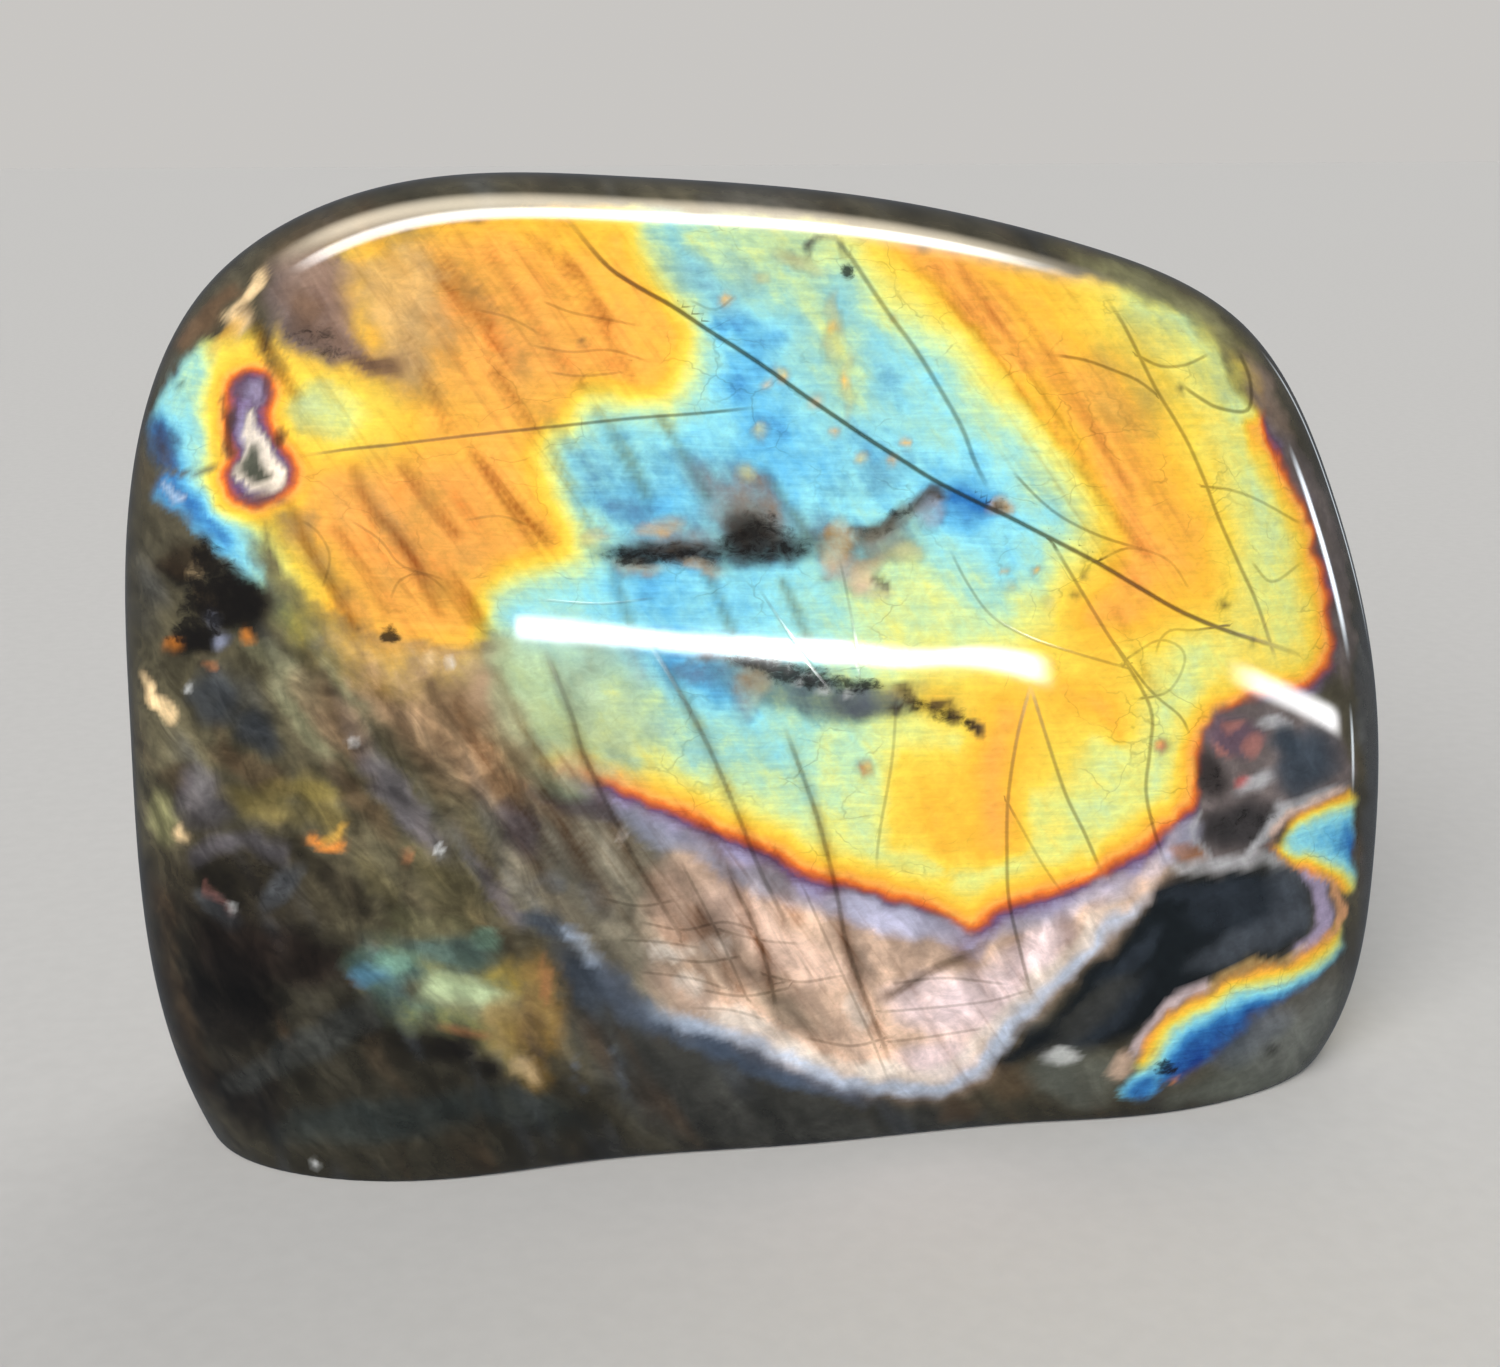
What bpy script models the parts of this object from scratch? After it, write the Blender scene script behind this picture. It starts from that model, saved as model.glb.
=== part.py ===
"""A labradorite freeform: one polished stone that stands on a flat cut base.

Metres, +Z up. The origin is on the base, at the middle of the stone's box. The polished face looks
along -Y, and the stone's width runs along X.
"""

import bmesh
import bpy
import numpy as np

MM = 0.001

# The outline, seen square to the face, as points (x, z) that a smooth closed curve passes through.
# It runs below z = 0, because the base is cut from the rounded stone afterwards.
OUTLINE_MM = (
    (53.0, 35.0), (48.2, 51.8), (40.0, 65.4), (26.4, 71.8),  # right end, and the sloping right shoulder
    (6.8, 76.0), (-12.6, 77.6), (-32.0, 76.8),  # crown
    (-45.8, 69.2), (-52.4, 54.0), (-53.8, 35.0), (-53.6, 15.6),  # large left shoulder and left end
    (-50.6, 2.4), (-44.0, -7.2),  # lower left corner
    (-22.8, -7.2), (-0.4, -7.8), (22.0, -7.2),  # the underside that the saw takes off
    (40.4, -7.2), (49.6, 0.0), (53.8, 17.4),  # the tighter lower right corner
)
CURVE_STEPS = 24  # points that the curve gets between two of those

# The middle of the stone, which every direction of its surface is counted from.
MIDDLE = (-0.4 * MM, -0.4 * MM, 35.0 * MM)

# How far the face and the back stand out from the middle plane.
FACE_DEPTH = 20.5 * MM
BACK_DEPTH = 17.0 * MM
# 2 is an ellipse in cross-section; a larger number gives flatter faces and a fuller rim.
FULLNESS = 2.6
# Above its widest level the stone thins towards the crown.
WIDEST_Z = 22.0 * MM
HEIGHT = 80.0 * MM
THINNING = 0.42
# The whole stone leans back a little.
LEAN = np.tan(np.radians(4.0))

# The polished edge round the base.
BASE_EDGE = 0.8 * MM
BASE_EDGE_STEPS = 2
BASE_EDGE_ANGLE = np.radians(25)
CUTTER_SIZE = 0.4

CELLS = 26  # grid cells along each side of the cube that the stone is shaped from

STONE_COLOUR = (0.16, 0.15, 0.12, 1.0)
STONE_ROUGHNESS = 0.08


def clear_scene():
    for item in list(bpy.data.objects):
        bpy.data.objects.remove(item, do_unlink=True)


def new_collection(name):
    collection = bpy.data.collections.new(name)
    bpy.context.scene.collection.children.link(collection)
    return collection


def closed_curve(points, steps):
    """Points along the smooth closed cubic curve through the given ones."""
    here = np.array(points)
    after, before = np.roll(here, -1, axis=0), np.roll(here, 1, axis=0)
    ahead = np.linalg.norm(after - here, axis=1)
    behind = np.roll(ahead, 1)
    # The curve's bending at each point is what joins its stretches with no change of curvature.
    around = np.eye(len(here))
    system = 2 * np.diag(ahead + behind)
    system += ahead[:, None] * np.roll(around, 1, axis=1) + behind[:, None] * np.roll(around, -1, axis=1)
    turn = (after - here) / ahead[:, None] - (here - before) / behind[:, None]
    bend = np.linalg.solve(system, 6 * turn)
    bend_after = np.roll(bend, -1, axis=0)
    t = (np.arange(steps) / steps)[:, None, None]
    span = (ahead**2 / 6)[:, None]
    curve = (bend * (1 - t) ** 3 + bend_after * t**3) * span
    curve = curve + (here - bend * span) * (1 - t) + (after - bend_after * span) * t
    return curve.swapaxes(0, 1).reshape(-1, 2)


class Rim:
    """The outline's distance from the stone's middle, in each direction round it."""

    def __init__(self):
        spoke = closed_curve(OUTLINE_MM, CURVE_STEPS) * MM - (MIDDLE[0], MIDDLE[2])
        angle = np.arctan2(spoke[:, 1], spoke[:, 0])
        order = np.argsort(angle)
        self.angle = angle[order]
        self.distance = np.hypot(spoke[:, 0], spoke[:, 1])[order]

    def at(self, angle):
        return np.interp(angle, self.angle, self.distance, period=2 * np.pi)


def stone_point(direction, rim):
    """The point of the uncut stone's surface in the given direction from its middle."""
    x, y, z = direction
    across = np.hypot(x, z)
    size = (across**FULLNESS + abs(y) ** FULLNESS) ** (1 / FULLNESS)
    angle = np.arctan2(z, x)
    out = across / size * rim.at(angle)
    high = MIDDLE[2] + out * np.sin(angle)
    depth = FACE_DEPTH if y < 0 else BACK_DEPTH
    depth *= 1 - THINNING * (max(high - WIDEST_Z, 0.0) / HEIGHT) ** 2
    return MIDDLE[0] + out * np.cos(angle), MIDDLE[1] + LEAN * high + y / size * depth, high


def pebble_mesh(name):
    """The uncut stone: a cube's even grid of faces, moved out to the stone's surface."""
    rim = Rim()
    shape = bmesh.new()
    bmesh.ops.create_cube(shape, size=2.0)
    bmesh.ops.subdivide_edges(shape, edges=shape.edges[:], cuts=CELLS - 1, use_grid_fill=True)
    for vertex in shape.verts:
        # The tangent spaces the grid evenly in angle, seen from the middle.
        vertex.co = stone_point(np.tan(np.array(vertex.co) * np.pi / 4), rim)
    mesh = bpy.data.meshes.new(name)
    shape.to_mesh(mesh)
    shape.free()
    return mesh


def base_cutter(collection):
    """A block whose top is the plane that the stone was sawn along."""
    bpy.ops.mesh.primitive_cube_add(size=CUTTER_SIZE, location=(0, 0, -CUTTER_SIZE / 2))
    cutter = bpy.context.active_object
    cutter.name = "base_cutter"
    for owner in list(cutter.users_collection):
        owner.objects.unlink(cutter)
    collection.objects.link(cutter)
    cutter.hide_render = True
    cutter.display_type = "WIRE"
    return cutter


def stone_material():
    material = bpy.data.materials.new("labradorite")
    material.use_nodes = True
    shader = material.node_tree.nodes["Principled BSDF"]
    shader.inputs["Base Color"].default_value = STONE_COLOUR
    shader.inputs["Roughness"].default_value = STONE_ROUGHNESS
    shader.inputs["Metallic"].default_value = 0.0
    return material


def stone(collection, cutters):
    mesh = pebble_mesh("stone")
    mesh.materials.append(stone_material())
    body = bpy.data.objects.new("stone", mesh)
    collection.objects.link(body)

    cut = body.modifiers.new("flat base", "BOOLEAN")
    cut.operation = "DIFFERENCE"
    cut.solver = "EXACT"
    cut.object = base_cutter(cutters)

    edge = body.modifiers.new("polished base edge", "BEVEL")
    edge.width = BASE_EDGE
    edge.segments = BASE_EDGE_STEPS
    edge.limit_method = "ANGLE"
    edge.angle_limit = BASE_EDGE_ANGLE

    mesh.shade_smooth()
    mesh.set_sharp_from_angle(angle=BASE_EDGE_ANGLE)
    return body


def main():
    clear_scene()
    stone(new_collection("labradorite_freeform"), new_collection("cutters"))


main()
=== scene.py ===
"""The looks of a labradorite freeform: one polished stone with a coloured sheet of flash in its face.

The stone is one closed mesh. Its markings are drawn once, as lines and patches in the main view's frame,
and are kept on the mesh as attributes, so they stay on the stone from every side. The material turns
them into colour: the flash is read from an interference scale by the thickness of the layer behind it.
"""

import bpy
import numpy as np
from mathutils import Euler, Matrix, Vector


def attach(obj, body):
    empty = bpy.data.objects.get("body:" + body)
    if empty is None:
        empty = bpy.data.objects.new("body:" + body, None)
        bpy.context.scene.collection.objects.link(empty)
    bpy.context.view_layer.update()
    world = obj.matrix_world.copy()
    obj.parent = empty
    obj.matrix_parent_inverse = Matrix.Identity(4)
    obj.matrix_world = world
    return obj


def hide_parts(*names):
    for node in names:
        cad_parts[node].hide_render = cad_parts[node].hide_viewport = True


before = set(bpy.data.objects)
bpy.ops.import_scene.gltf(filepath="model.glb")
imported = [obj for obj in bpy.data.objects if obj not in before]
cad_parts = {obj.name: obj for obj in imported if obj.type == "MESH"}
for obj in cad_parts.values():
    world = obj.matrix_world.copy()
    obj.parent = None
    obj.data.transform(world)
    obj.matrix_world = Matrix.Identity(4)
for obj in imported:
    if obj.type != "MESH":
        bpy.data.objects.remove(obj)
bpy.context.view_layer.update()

bl_info = {
    "name": "Labradorite freeform",
    "version": (1, 0, 0),
    "blender": (4, 5, 0),
    "location": "View3D > Sidebar > Stone",
    "description": "Makes a polished labradorite freeform and the stage that it stands on",
    "category": "Object",
}

MM = 0.001


# ------------------------------------------------------------------ the stone's shape

# The outline, seen square to the face, as points (x, z) that a smooth closed curve passes through.
OUTLINE_MM = (
    (53.0, 35.0), (48.2, 51.8), (40.0, 65.4), (26.4, 71.8),  # right end, and the sloping right shoulder
    (6.8, 76.0), (-12.6, 77.6), (-32.0, 76.8),  # crown
    (-45.8, 69.2), (-52.4, 54.0), (-53.8, 35.0), (-53.6, 15.6),  # large left shoulder and left end
    (-50.6, 2.4), (-44.0, -7.2),  # lower left corner
    (-22.8, -7.2), (-0.4, -7.8), (22.0, -7.2),  # the underside that the saw takes off
    (40.4, -7.2), (49.6, 0.0), (53.8, 17.4),  # the tighter lower right corner
)
CURVE_STEPS = 24
MIDDLE = np.array((-0.4, -0.4, 35.0)) * MM

# How full the cross-section is, where 2 is an ellipse; the height up to which the stone keeps its depth, and
# what share of it is gone a whole height above that; and how far it leans back for each step up.
FULLNESS = 2.6
WIDEST_Z = 22.0 * MM
HEIGHT = 80.0 * MM
THINNING = 0.42
LEAN = np.tan(np.radians(4.0))

# Half the width, half the height and half the depth, which space the mesh evenly over the stone.
HALF_WIDTH, HALF_HEIGHT, HALF_DEPTH = 54.0, 42.0, 20.0
FACE_COLUMNS, FACE_ROWS = 320, 232
PROFILE_STEPS = 4000


# ------------------------------------------------------------------ the main view

FRAME_WIDTH, FRAME_HEIGHT = 1500, 1367
FOCAL_PX = 2000.0
SENSOR_MM = 36.0
VIEW_AZIMUTH, VIEW_ELEVATION = np.radians(-10.0), np.radians(16.0)
VIEW_TARGET = np.array((-2.85, 0.0, 35.85)) * MM
VIEW_DISTANCE = 170.07 * MM
NEAREST_SEEN = 10.0 * MM


def heading(azimuth, elevation):
    """The unit step towards an azimuth, counted from -Y towards +X, and an elevation."""
    flat = np.cos(elevation)
    return np.array((np.sin(azimuth) * flat, -np.cos(azimuth) * flat, np.sin(elevation)))


VIEW_PLACE = VIEW_TARGET + VIEW_DISTANCE * heading(VIEW_AZIMUTH, VIEW_ELEVATION)

# The part's node that the mesh stands for.
STONE = "stone"


# ------------------------------------------------------------------ how the markings are drawn

# Where the face's and the back's discs lie on the stone's map.
FACE_MAP_MIDDLE, FACE_MAP_HALF = np.array((0.5, 0.33)), np.array((0.49, 0.32))
BACK_MAP_MIDDLE, BACK_MAP_HALF = np.array((0.5, 0.83)), np.array((0.49, 0.16))

# How far a place faces the main view, -1 to 1, where the face's markings begin and where they are whole;
# and how dark the painted shade at the edge between what that view sees and what it doesn't is, and how far
# it reaches. That edge is partly the flash's own fading at the rim and partly painted shade, which stands in
# for the dark reflections along the main view's silhouette.
MARKS_BEGIN, MARKS_WHOLE = -0.35, 0.08
SILHOUETTE_SHADE, SILHOUETTE_SHADE_REACH = 0.6, 0.42

# How strongly the flash, the cracks, the veils and the streaks show on the back, and how deep a crack of
# the face has to be to come through.
BACK_FLASH, BACK_CRACKS, BACK_VEIL, BACK_STREAKS = 0.6, 0.75, 0.6, 0.6
THROUGH_CRACKS = (0.40, 0.58)
STREAKS_EVERYWHERE = 0.15
SMOKE_EVERYWHERE = 0.30

# Waves that roughen what is drawn: seed, shortest and longest length, and their number where it isn't the
# usual one. The lengths are in px on the face and in mm round the body.
EDGE_WAVES = ((3, 12, 90), (4, 12, 90))
FACE_SMOKE, FACE_HUES = (21, 12, 110), (22, 16, 140)
BODY_SMOKE, BODY_HUES = (13, 3, 45), (14, 5, 50)
BODY_FLASH, BODY_LAYER = (11, 22, 100, 24), (12, 22, 90)
USUAL_WAVES = 28

# How far those waves move the edges of the markings and of the flash's fringe, in px.
EDGE_WANDER = 3.0
FRINGE_WANDER = 1.4

# How much stronger the body's smoke and hues are than the face's, where its flash begins and is whole, and
# its layer's middle thickness and how much that changes.
BODY_SMOKE_GAIN, BODY_HUE_GAIN = 1.5, 1.3
BODY_FLASH_RISE = (0.35, 1.5)
BODY_THICKNESS, BODY_CHANGE = 0.36, 0.20

# How deep the smoke is, the tones that its hues lean to, each with its direction and strength, and how far
# a hue leans where the tone begins and where it is whole.
SMOKE_DEPTH = 0.26
SMOKE_TONES = (("bark", 1, 0.45), ("slate", -1, 0.35))
HUE_RISE = (0.4, 2.2)

# The cleavage's slope on the face and in the main view, and how many times longer than wide its smoke is.
CLEAVAGE_TILT = np.radians(-34)
CLEAVAGE_IN_VIEW = np.radians(57)
CLEAVAGE_STRETCH = 4

# The cells of the stretched sheet in px, each half as large as the last, and how often each is smoothed.
SHEET_CELLS = (32, 16, 8, 4)
SHEET_SWEEPS = 160

# The gap in px between the points of a line of the flash, an outline, a stroke, a crack and a veil; and how
# far past its soft edge a marking is worked out.
FLASH_GAP, OUTLINE_GAP, STROKE_GAP, CRACK_GAP, VEIL_GAP = 3.0, 10.0, 8.0, 7.0, 9.0
MARGIN = 2.0

# A line moved aside keeps the points that end up at least this share of the move from where the line was,
# less a slack in px.
KEPT_SHARE, KEPT_SLACK = 0.93, 0.5

# Where an oval cloud begins to thin out and where it ends, as squares of its half sizes.
CLOUD_EDGE = (0.15, 1.9)

# A stroke's full core as a share of its half width, the strength of a speck, and how far past its radius
# and its half width a speck and a veil fade out; and the shares of a line over which its ends taper.
STROKE_CORE = 0.4
SPECK_STRENGTH, SPECK_SPREAD = 0.7, 2.2
VEIL_SPREAD = 2.4
TAPER = (-0.02, 0.10)

# The cracks are kept in channels. Each is followed this far to both sides, in px, and its darkness fades
# over the second range.
CRACK_CHANNELS = 3
CRACK_REACH = 15.0
CRACK_FADE = (5.0, 9.0)

# What keeps a division by nothing from failing, and a place inside the sheet's last cell.
TINY = 1e-9
LAST_CELL = 1.001


# ------------------------------------------------------------------ the lights

# The soft lights over the stage: azimuth, elevation and spread in degrees.
KEY_PLACE = (-28.0, 36.0, 50.0)
FILL_PLACE = (150.0, 32.0, 60.0)

# Lamps that only show as reflections in the polish: azimuth, elevation, distance in m, width and height
# in m, power in W, colour, turn in degrees, and the shares of width and height over which they fade out.
WHITE, WARM, COOL = (1.0, 1.0, 1.0), (1.0, 0.88, 0.68), (0.84, 0.93, 1.0)
LAMPS = (
    ("front strip, left", 1.6, 4.0, 1.0, 0.42, 0.054, 2.0, WHITE, -3, (0.10, 0.75)),
    ("front strip, right", 17.6, 2.2, 1.0, 0.38, 0.052, 1.7, WHITE, -11, (0.25, 0.75)),
    ("overhead strip", 180, 82, 0.8, 1.10, 0.17, 8.4, WHITE, 10, (0.35, 0.7)),
    ("overhead glow", 176, 73, 1.0, 1.5, 0.60, 26.0, WARM, 0, (0.5, 1.0)),
    ("right strip", 95.5, 5.5, 0.845, 0.085, 0.27, 1.2, COOL, 0, (0.9, 0.8)),
    ("right strip's tail", 88, -8.6, 0.148, 0.006, 0.022, 0.003, COOL, 0, (0.9, 0.9)),
    ("window at the right", 68, -2.8, 0.242, 0.150, 0.015, 0.13, WHITE, -14, (0.45, 0.85)),
    ("window behind", 123, 5.5, 0.185, 0.016, 0.09, 0.008, COOL, 0, (0.9, 0.5)),
)


# ------------------------------------------------------------------ the markings

# All points below are (across, down) in px of the main view's frame, drawn where the marking lies.

# The thickness of the flash's layer, 0 (deep blue) to 1 (rose grey), along lines on the face. Each line
# gives pairs: how far to the left of the line, walking along it, and the thickness there.
FLASH_LINES = {
    # the blue pool
    "pool, left shore": (
        ((32, 0.28), (13, 0.42), (0, 0.54), (-10, 0.64), (-22, 0.735)),
        ((636, 226), (654, 266), (694, 329), (689, 364), (671, 400), (622, 404), (591, 400), (573, 427),
         (555, 436), (546, 462), (560, 498), (573, 525), (582, 552), (555, 568), (524, 574), (502, 587),
         (488, 605), (488, 640))),
    "pool, right shore": (
        ((44, 0.76), (20, 0.66), (0, 0.57), (-18, 0.47), (-40, 0.36)),
        ((861, 248), (884, 283), (920, 311), (957, 343), (985, 380), (1021, 407), (1049, 444), (1076, 481),
         (1092, 517), (1092, 545), (1070, 570), (1052, 600))),
    "heart of the pool": (((0, 0.17),), ((722, 330), (735, 380), (775, 430), (800, 470))),
    "upper heart of the pool": (((0, 0.18),), ((705, 330), (745, 322), (785, 340))),
    "blue along the crack": (((0, 0.03),), ((948, 492), (970, 500), (994, 508))),
    "blue before the crack": (((0, 0.20),), ((860, 455), (900, 468), (930, 480))),
    "bright lobe": (((0, 0.27),), ((962, 540), (985, 565), (1010, 582))),
    "steel pocket": (((0, 0.13),), ((592, 496), (615, 516), (650, 508))),
    "west arm of the pool": (((0, 0.27),), ((610, 440), (650, 450), (690, 450))),
    "blue under the dark band": (((0, 0.22),), ((600, 585), (690, 592), (770, 600))),
    "pale crown of the pool": (((0, 0.42),), ((680, 240), (720, 262), (760, 285))),
    "straw crown of the pool": (((0, 0.49),), ((770, 242), (815, 246), (840, 262))),
    "pale green middle of the pool": (((0, 0.47),), ((800, 290), (832, 350), (850, 400))),
    "cyan before the right shore": (((0, 0.30),), ((880, 340), (905, 400), (940, 445))),
    "green before the right shore": (((0, 0.42),), ((960, 400), (1000, 450), (1040, 500))),
    "green under the lobe": (((0, 0.50),), ((905, 560), (930, 590), (970, 612))),
    # under the streak, down to the fringe
    "blue under the streak": (((0, 0.12),), ((665, 662), (690, 674), (722, 694))),
    "cyan under the streak": (((0, 0.36),), ((700, 730), (735, 750), (780, 755))),
    "green flank": (((0, 0.40),), ((510, 650), (560, 690), (600, 700))),
    "straw flank": (((0, 0.43),), ((520, 745), (590, 750), (640, 765))),
    "green west of the fringe": (((0, 0.39),), ((650, 690), (680, 740), (705, 780))),
    "green over the fringe": (((0, 0.43),), ((735, 770), (790, 790), (840, 812))),
    "green under the smear": (((0, 0.44),), ((790, 742), (840, 748), (868, 756))),
    "edge of the gold": (((10, 0.50), (0, 0.57), (-12, 0.65)), ((884, 850), (884, 800), (892, 750))),
    "straw under the smear": (((0, 0.55),), ((900, 728), (930, 738), (965, 742))),
    "gold above the tip": (((0, 0.71),), ((925, 780), (935, 830), (950, 880))),
    "amber down the crack": (((22, 0.70), (0, 0.76), (-22, 0.70)), ((1005, 705), (992, 780), (1000, 860))),
    "green beside the crack": (((0, 0.52),), ((1032, 800), (1040, 830), (1050, 860))),
    "green lobe": (
        ((24, 0.56), (0, 0.51), (-24, 0.53)), ((1066, 856), (1084, 820), (1106, 780), (1118, 748))),
    "gold east of the lobe": (((0, 0.62),), ((1158, 800), (1172, 818))),
    "lower fringe": (
        ((36, 0.53), (22, 0.61), (12, 0.70), (6, 0.77), (0, 0.82), (-5, 0.87), (-12, 0.92), (-25, 0.95),
         (-56, 0.99)),
        ((560, 768), (591, 776), (627, 790), (680, 811), (725, 832), (770, 849), (800, 867), (838, 880),
         (884, 891), (930, 905), (955, 918), (972, 928), (994, 910), (1040, 893), (1086, 880), (1113, 860),
         (1150, 840), (1177, 815), (1192, 797), (1197, 765), (1200, 738), (1219, 712))),
    # the amber side
    "gold saddle": (((0, 0.64),), ((1035, 650), (1055, 662), (1080, 668))),
    "amber saddle": (((0, 0.73),), ((1062, 684), (1100, 705), (1122, 742))),
    "amber band": (
        ((0, 0.77),), ((935, 265), (985, 335), (1045, 412), (1110, 490), (1150, 555), (1125, 620))),
    "tan shoulder": (((0, 0.72),), ((1090, 360), (1130, 410), (1165, 480))),
    "gold east": (((0, 0.715),), ((1175, 470), (1200, 540), (1205, 600))),
    "green right side": (
        ((16, 0.55), (0, 0.505), (-16, 0.55)),
        ((1130, 300), (1190, 332), (1230, 400), (1256, 490), (1270, 550), (1280, 630))),
    "green by the lower right": (
        ((16, 0.55), (0, 0.51), (-14, 0.55)), ((1204, 650), (1178, 690), (1162, 740), (1154, 800))),
    "gold knot by the lower right": (((0, 0.64),), ((1128, 650), (1132, 684))),
    "pale right of the streak": (((0, 0.51),), ((890, 615), (950, 628), (1010, 636))),
    "gold under the streak": (((0, 0.64),), ((925, 700), (960, 696), (985, 712))),
    "right fringe": (
        ((22, 0.94), (12, 0.90), (5, 0.86), (0, 0.80), (-5, 0.72), (-14, 0.62)),
        ((1250, 425), (1273, 462), (1296, 499), (1310, 531), (1315, 572), (1324, 609), (1326, 650),
         (1309, 677), (1262, 690), (1228, 704))),
    # the amber west
    "amber crown": (((0, 0.76),), ((455, 250), (540, 262), (615, 300), (640, 340))),
    "amber heart": (((0, 0.77),), ((440, 300), (500, 350), (560, 370), (620, 370))),
    "amber under the long crack": (((0, 0.77),), ((330, 480), (400, 490), (470, 480), (520, 470))),
    "amber south-west": (((0, 0.77),), ((320, 530), (390, 560), (460, 560), (520, 540))),
    "amber foot": (((0, 0.75),), ((340, 604), (400, 628), (460, 622), (490, 606))),
    "amber by the ring": (((0, 0.74),), ((312, 470), (306, 510))),
    "green eye": (((0, 0.48), (20, 0.55), (-18, 0.55)), ((300, 400), (326, 410), (350, 420))),
    "gold round the eye": (((0, 0.66),), ((296, 378), (340, 378), (380, 396), (396, 420), (372, 444))),
    "green heel": (((0, 0.54),), ((268, 552), (278, 572), (292, 594))),
    # the left rim and the inclusion ring
    "left rim green": (((0, 0.335),), ((204, 362), (194, 390), (194, 425), (202, 450))),
    "left rim cyan": (((0, 0.31),), ((178, 398), (178, 418), (186, 444))),
    "left rim blue": (((0, 0.02),), ((160, 425), (163, 448), (172, 462))),
    "left blue tail": (((0, 0.08),), ((162, 484), (190, 498), (218, 526), (232, 545))),
    "left teal tail": (((0, 0.30),), ((246, 556), (262, 580))),
    "left rim gold": (((0, 0.63),), ((234, 345), (214, 376), (212, 420), (214, 455), (216, 510))),
    "inclusion ring": (
        ((-9, 0.68), (0, 0.81), (5, 0.87), (12, 0.91), (20, 0.93)),
        ((254, 366), (236, 372), (224, 387), (223, 405), (224, 425), (229, 445), (228, 460), (221, 480),
         (230, 499), (255, 507), (284, 499), (299, 480), (296, 458), (282, 443), (273, 425), (271, 405),
         (277, 386), (270, 371), (254, 366))),
    # the lower right
    "rainbow band": (
        ((7, 0.78), (0, 0.68), (-6, 0.54), (-12, 0.34), (-19, 0.14), (-28, 0.03), (-48, 0.0)),
        ((1140, 1064), (1151, 1048), (1171, 1022), (1201, 1002), (1242, 982), (1282, 972), (1317, 954),
         (1336, 936))),
    "foot of the band": (((0, 0.04),), ((1130, 1098), (1140, 1084), (1152, 1074))),
    "small wedge, upper arm": (
        ((3, 0.78), (-5, 0.60), (-11, 0.36), (-20, 0.24)),
        ((1276, 846), (1283, 832), (1297, 818), (1320, 806), (1346, 800))),
    "small wedge, lower arm": (
        ((-3, 0.78), (5, 0.60), (11, 0.36), (18, 0.24)),
        ((1276, 850), (1290, 860), (1315, 866), (1345, 884))),
    "small wedge's dark end": (((0, 0.06),), ((1348, 826), (1352, 842), (1350, 858))),
    # the lower left
    "lower left teal": (((0, 0.30),), ((362, 966), (385, 974), (400, 980))),
    "lower left green": (((0, 0.48),), ((430, 985), (465, 998), (500, 1008))),
    "lower left gold": (((0, 0.68),), ((530, 975), (540, 1020), (535, 1070))),
}

# Where the flash shows: strength, softness of the edge in px, outline.
FLASH_PATCHES = {
    "main sheet": (1.0, 9, (
        (300, 268), (352, 244), (450, 220), (569, 210), (700, 216), (800, 224), (884, 240), (975, 258),
        (1040, 272), (1110, 286), (1178, 308), (1230, 338), (1258, 390), (1284, 454), (1306, 498),
        (1322, 556), (1334, 616), (1334, 662), (1312, 690), (1258, 706), (1230, 718), (1216, 745),
        (1214, 775), (1205, 812), (1165, 850), (1125, 880), (1040, 918), (998, 932), (971, 956),
        (930, 932), (838, 910), (770, 880), (680, 842), (620, 812), (566, 786), (530, 740), (512, 690),
        (510, 640), (470, 642), (430, 646), (380, 634), (330, 612), (290, 580), (270, 540), (262, 500),
        (272, 440), (262, 400), (272, 340), (286, 290))),
    "heel": (0.42, 28, (
        (280, 560), (350, 600), (430, 640), (470, 660), (420, 690), (350, 670), (296, 620))),
    "left rim sheet": (0.92, 8, (
        (160, 468), (152, 440), (160, 405), (176, 368), (204, 348), (226, 338), (252, 330), (262, 360),
        (262, 500), (266, 560), (262, 590), (244, 582), (216, 548), (186, 515), (156, 490))),
    "inclusion ring": (1.0, 5, (
        (254, 352), (222, 366), (212, 392), (214, 425), (216, 456), (210, 484), (224, 510), (256, 520),
        (292, 508), (310, 482), (306, 452), (290, 434), (284, 410), (290, 386), (276, 360))),
    "rainbow band": (1.0, 8, (
        (1134, 1068), (1146, 1042), (1166, 1012), (1200, 992), (1240, 972), (1280, 962), (1312, 945),
        (1340, 926), (1342, 944), (1318, 974), (1276, 1002), (1236, 1036), (1196, 1070), (1166, 1080),
        (1150, 1068))),
    "foot of the band": (0.95, 5, ((1120, 1102), (1130, 1080), (1148, 1068), (1158, 1078), (1142, 1098))),
    "small wedge": (1.0, 5, (
        (1268, 848), (1276, 826), (1295, 810), (1320, 797), (1350, 790), (1354, 840), (1350, 890),
        (1315, 874), (1288, 868))),
    "lower left sheet": (0.18, 22, (
        (356, 955), (380, 944), (420, 960), (500, 968), (540, 962), (556, 985), (550, 1050), (535, 1080),
        (510, 1060), (480, 1034), (420, 1020), (380, 1000))),
}

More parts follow.
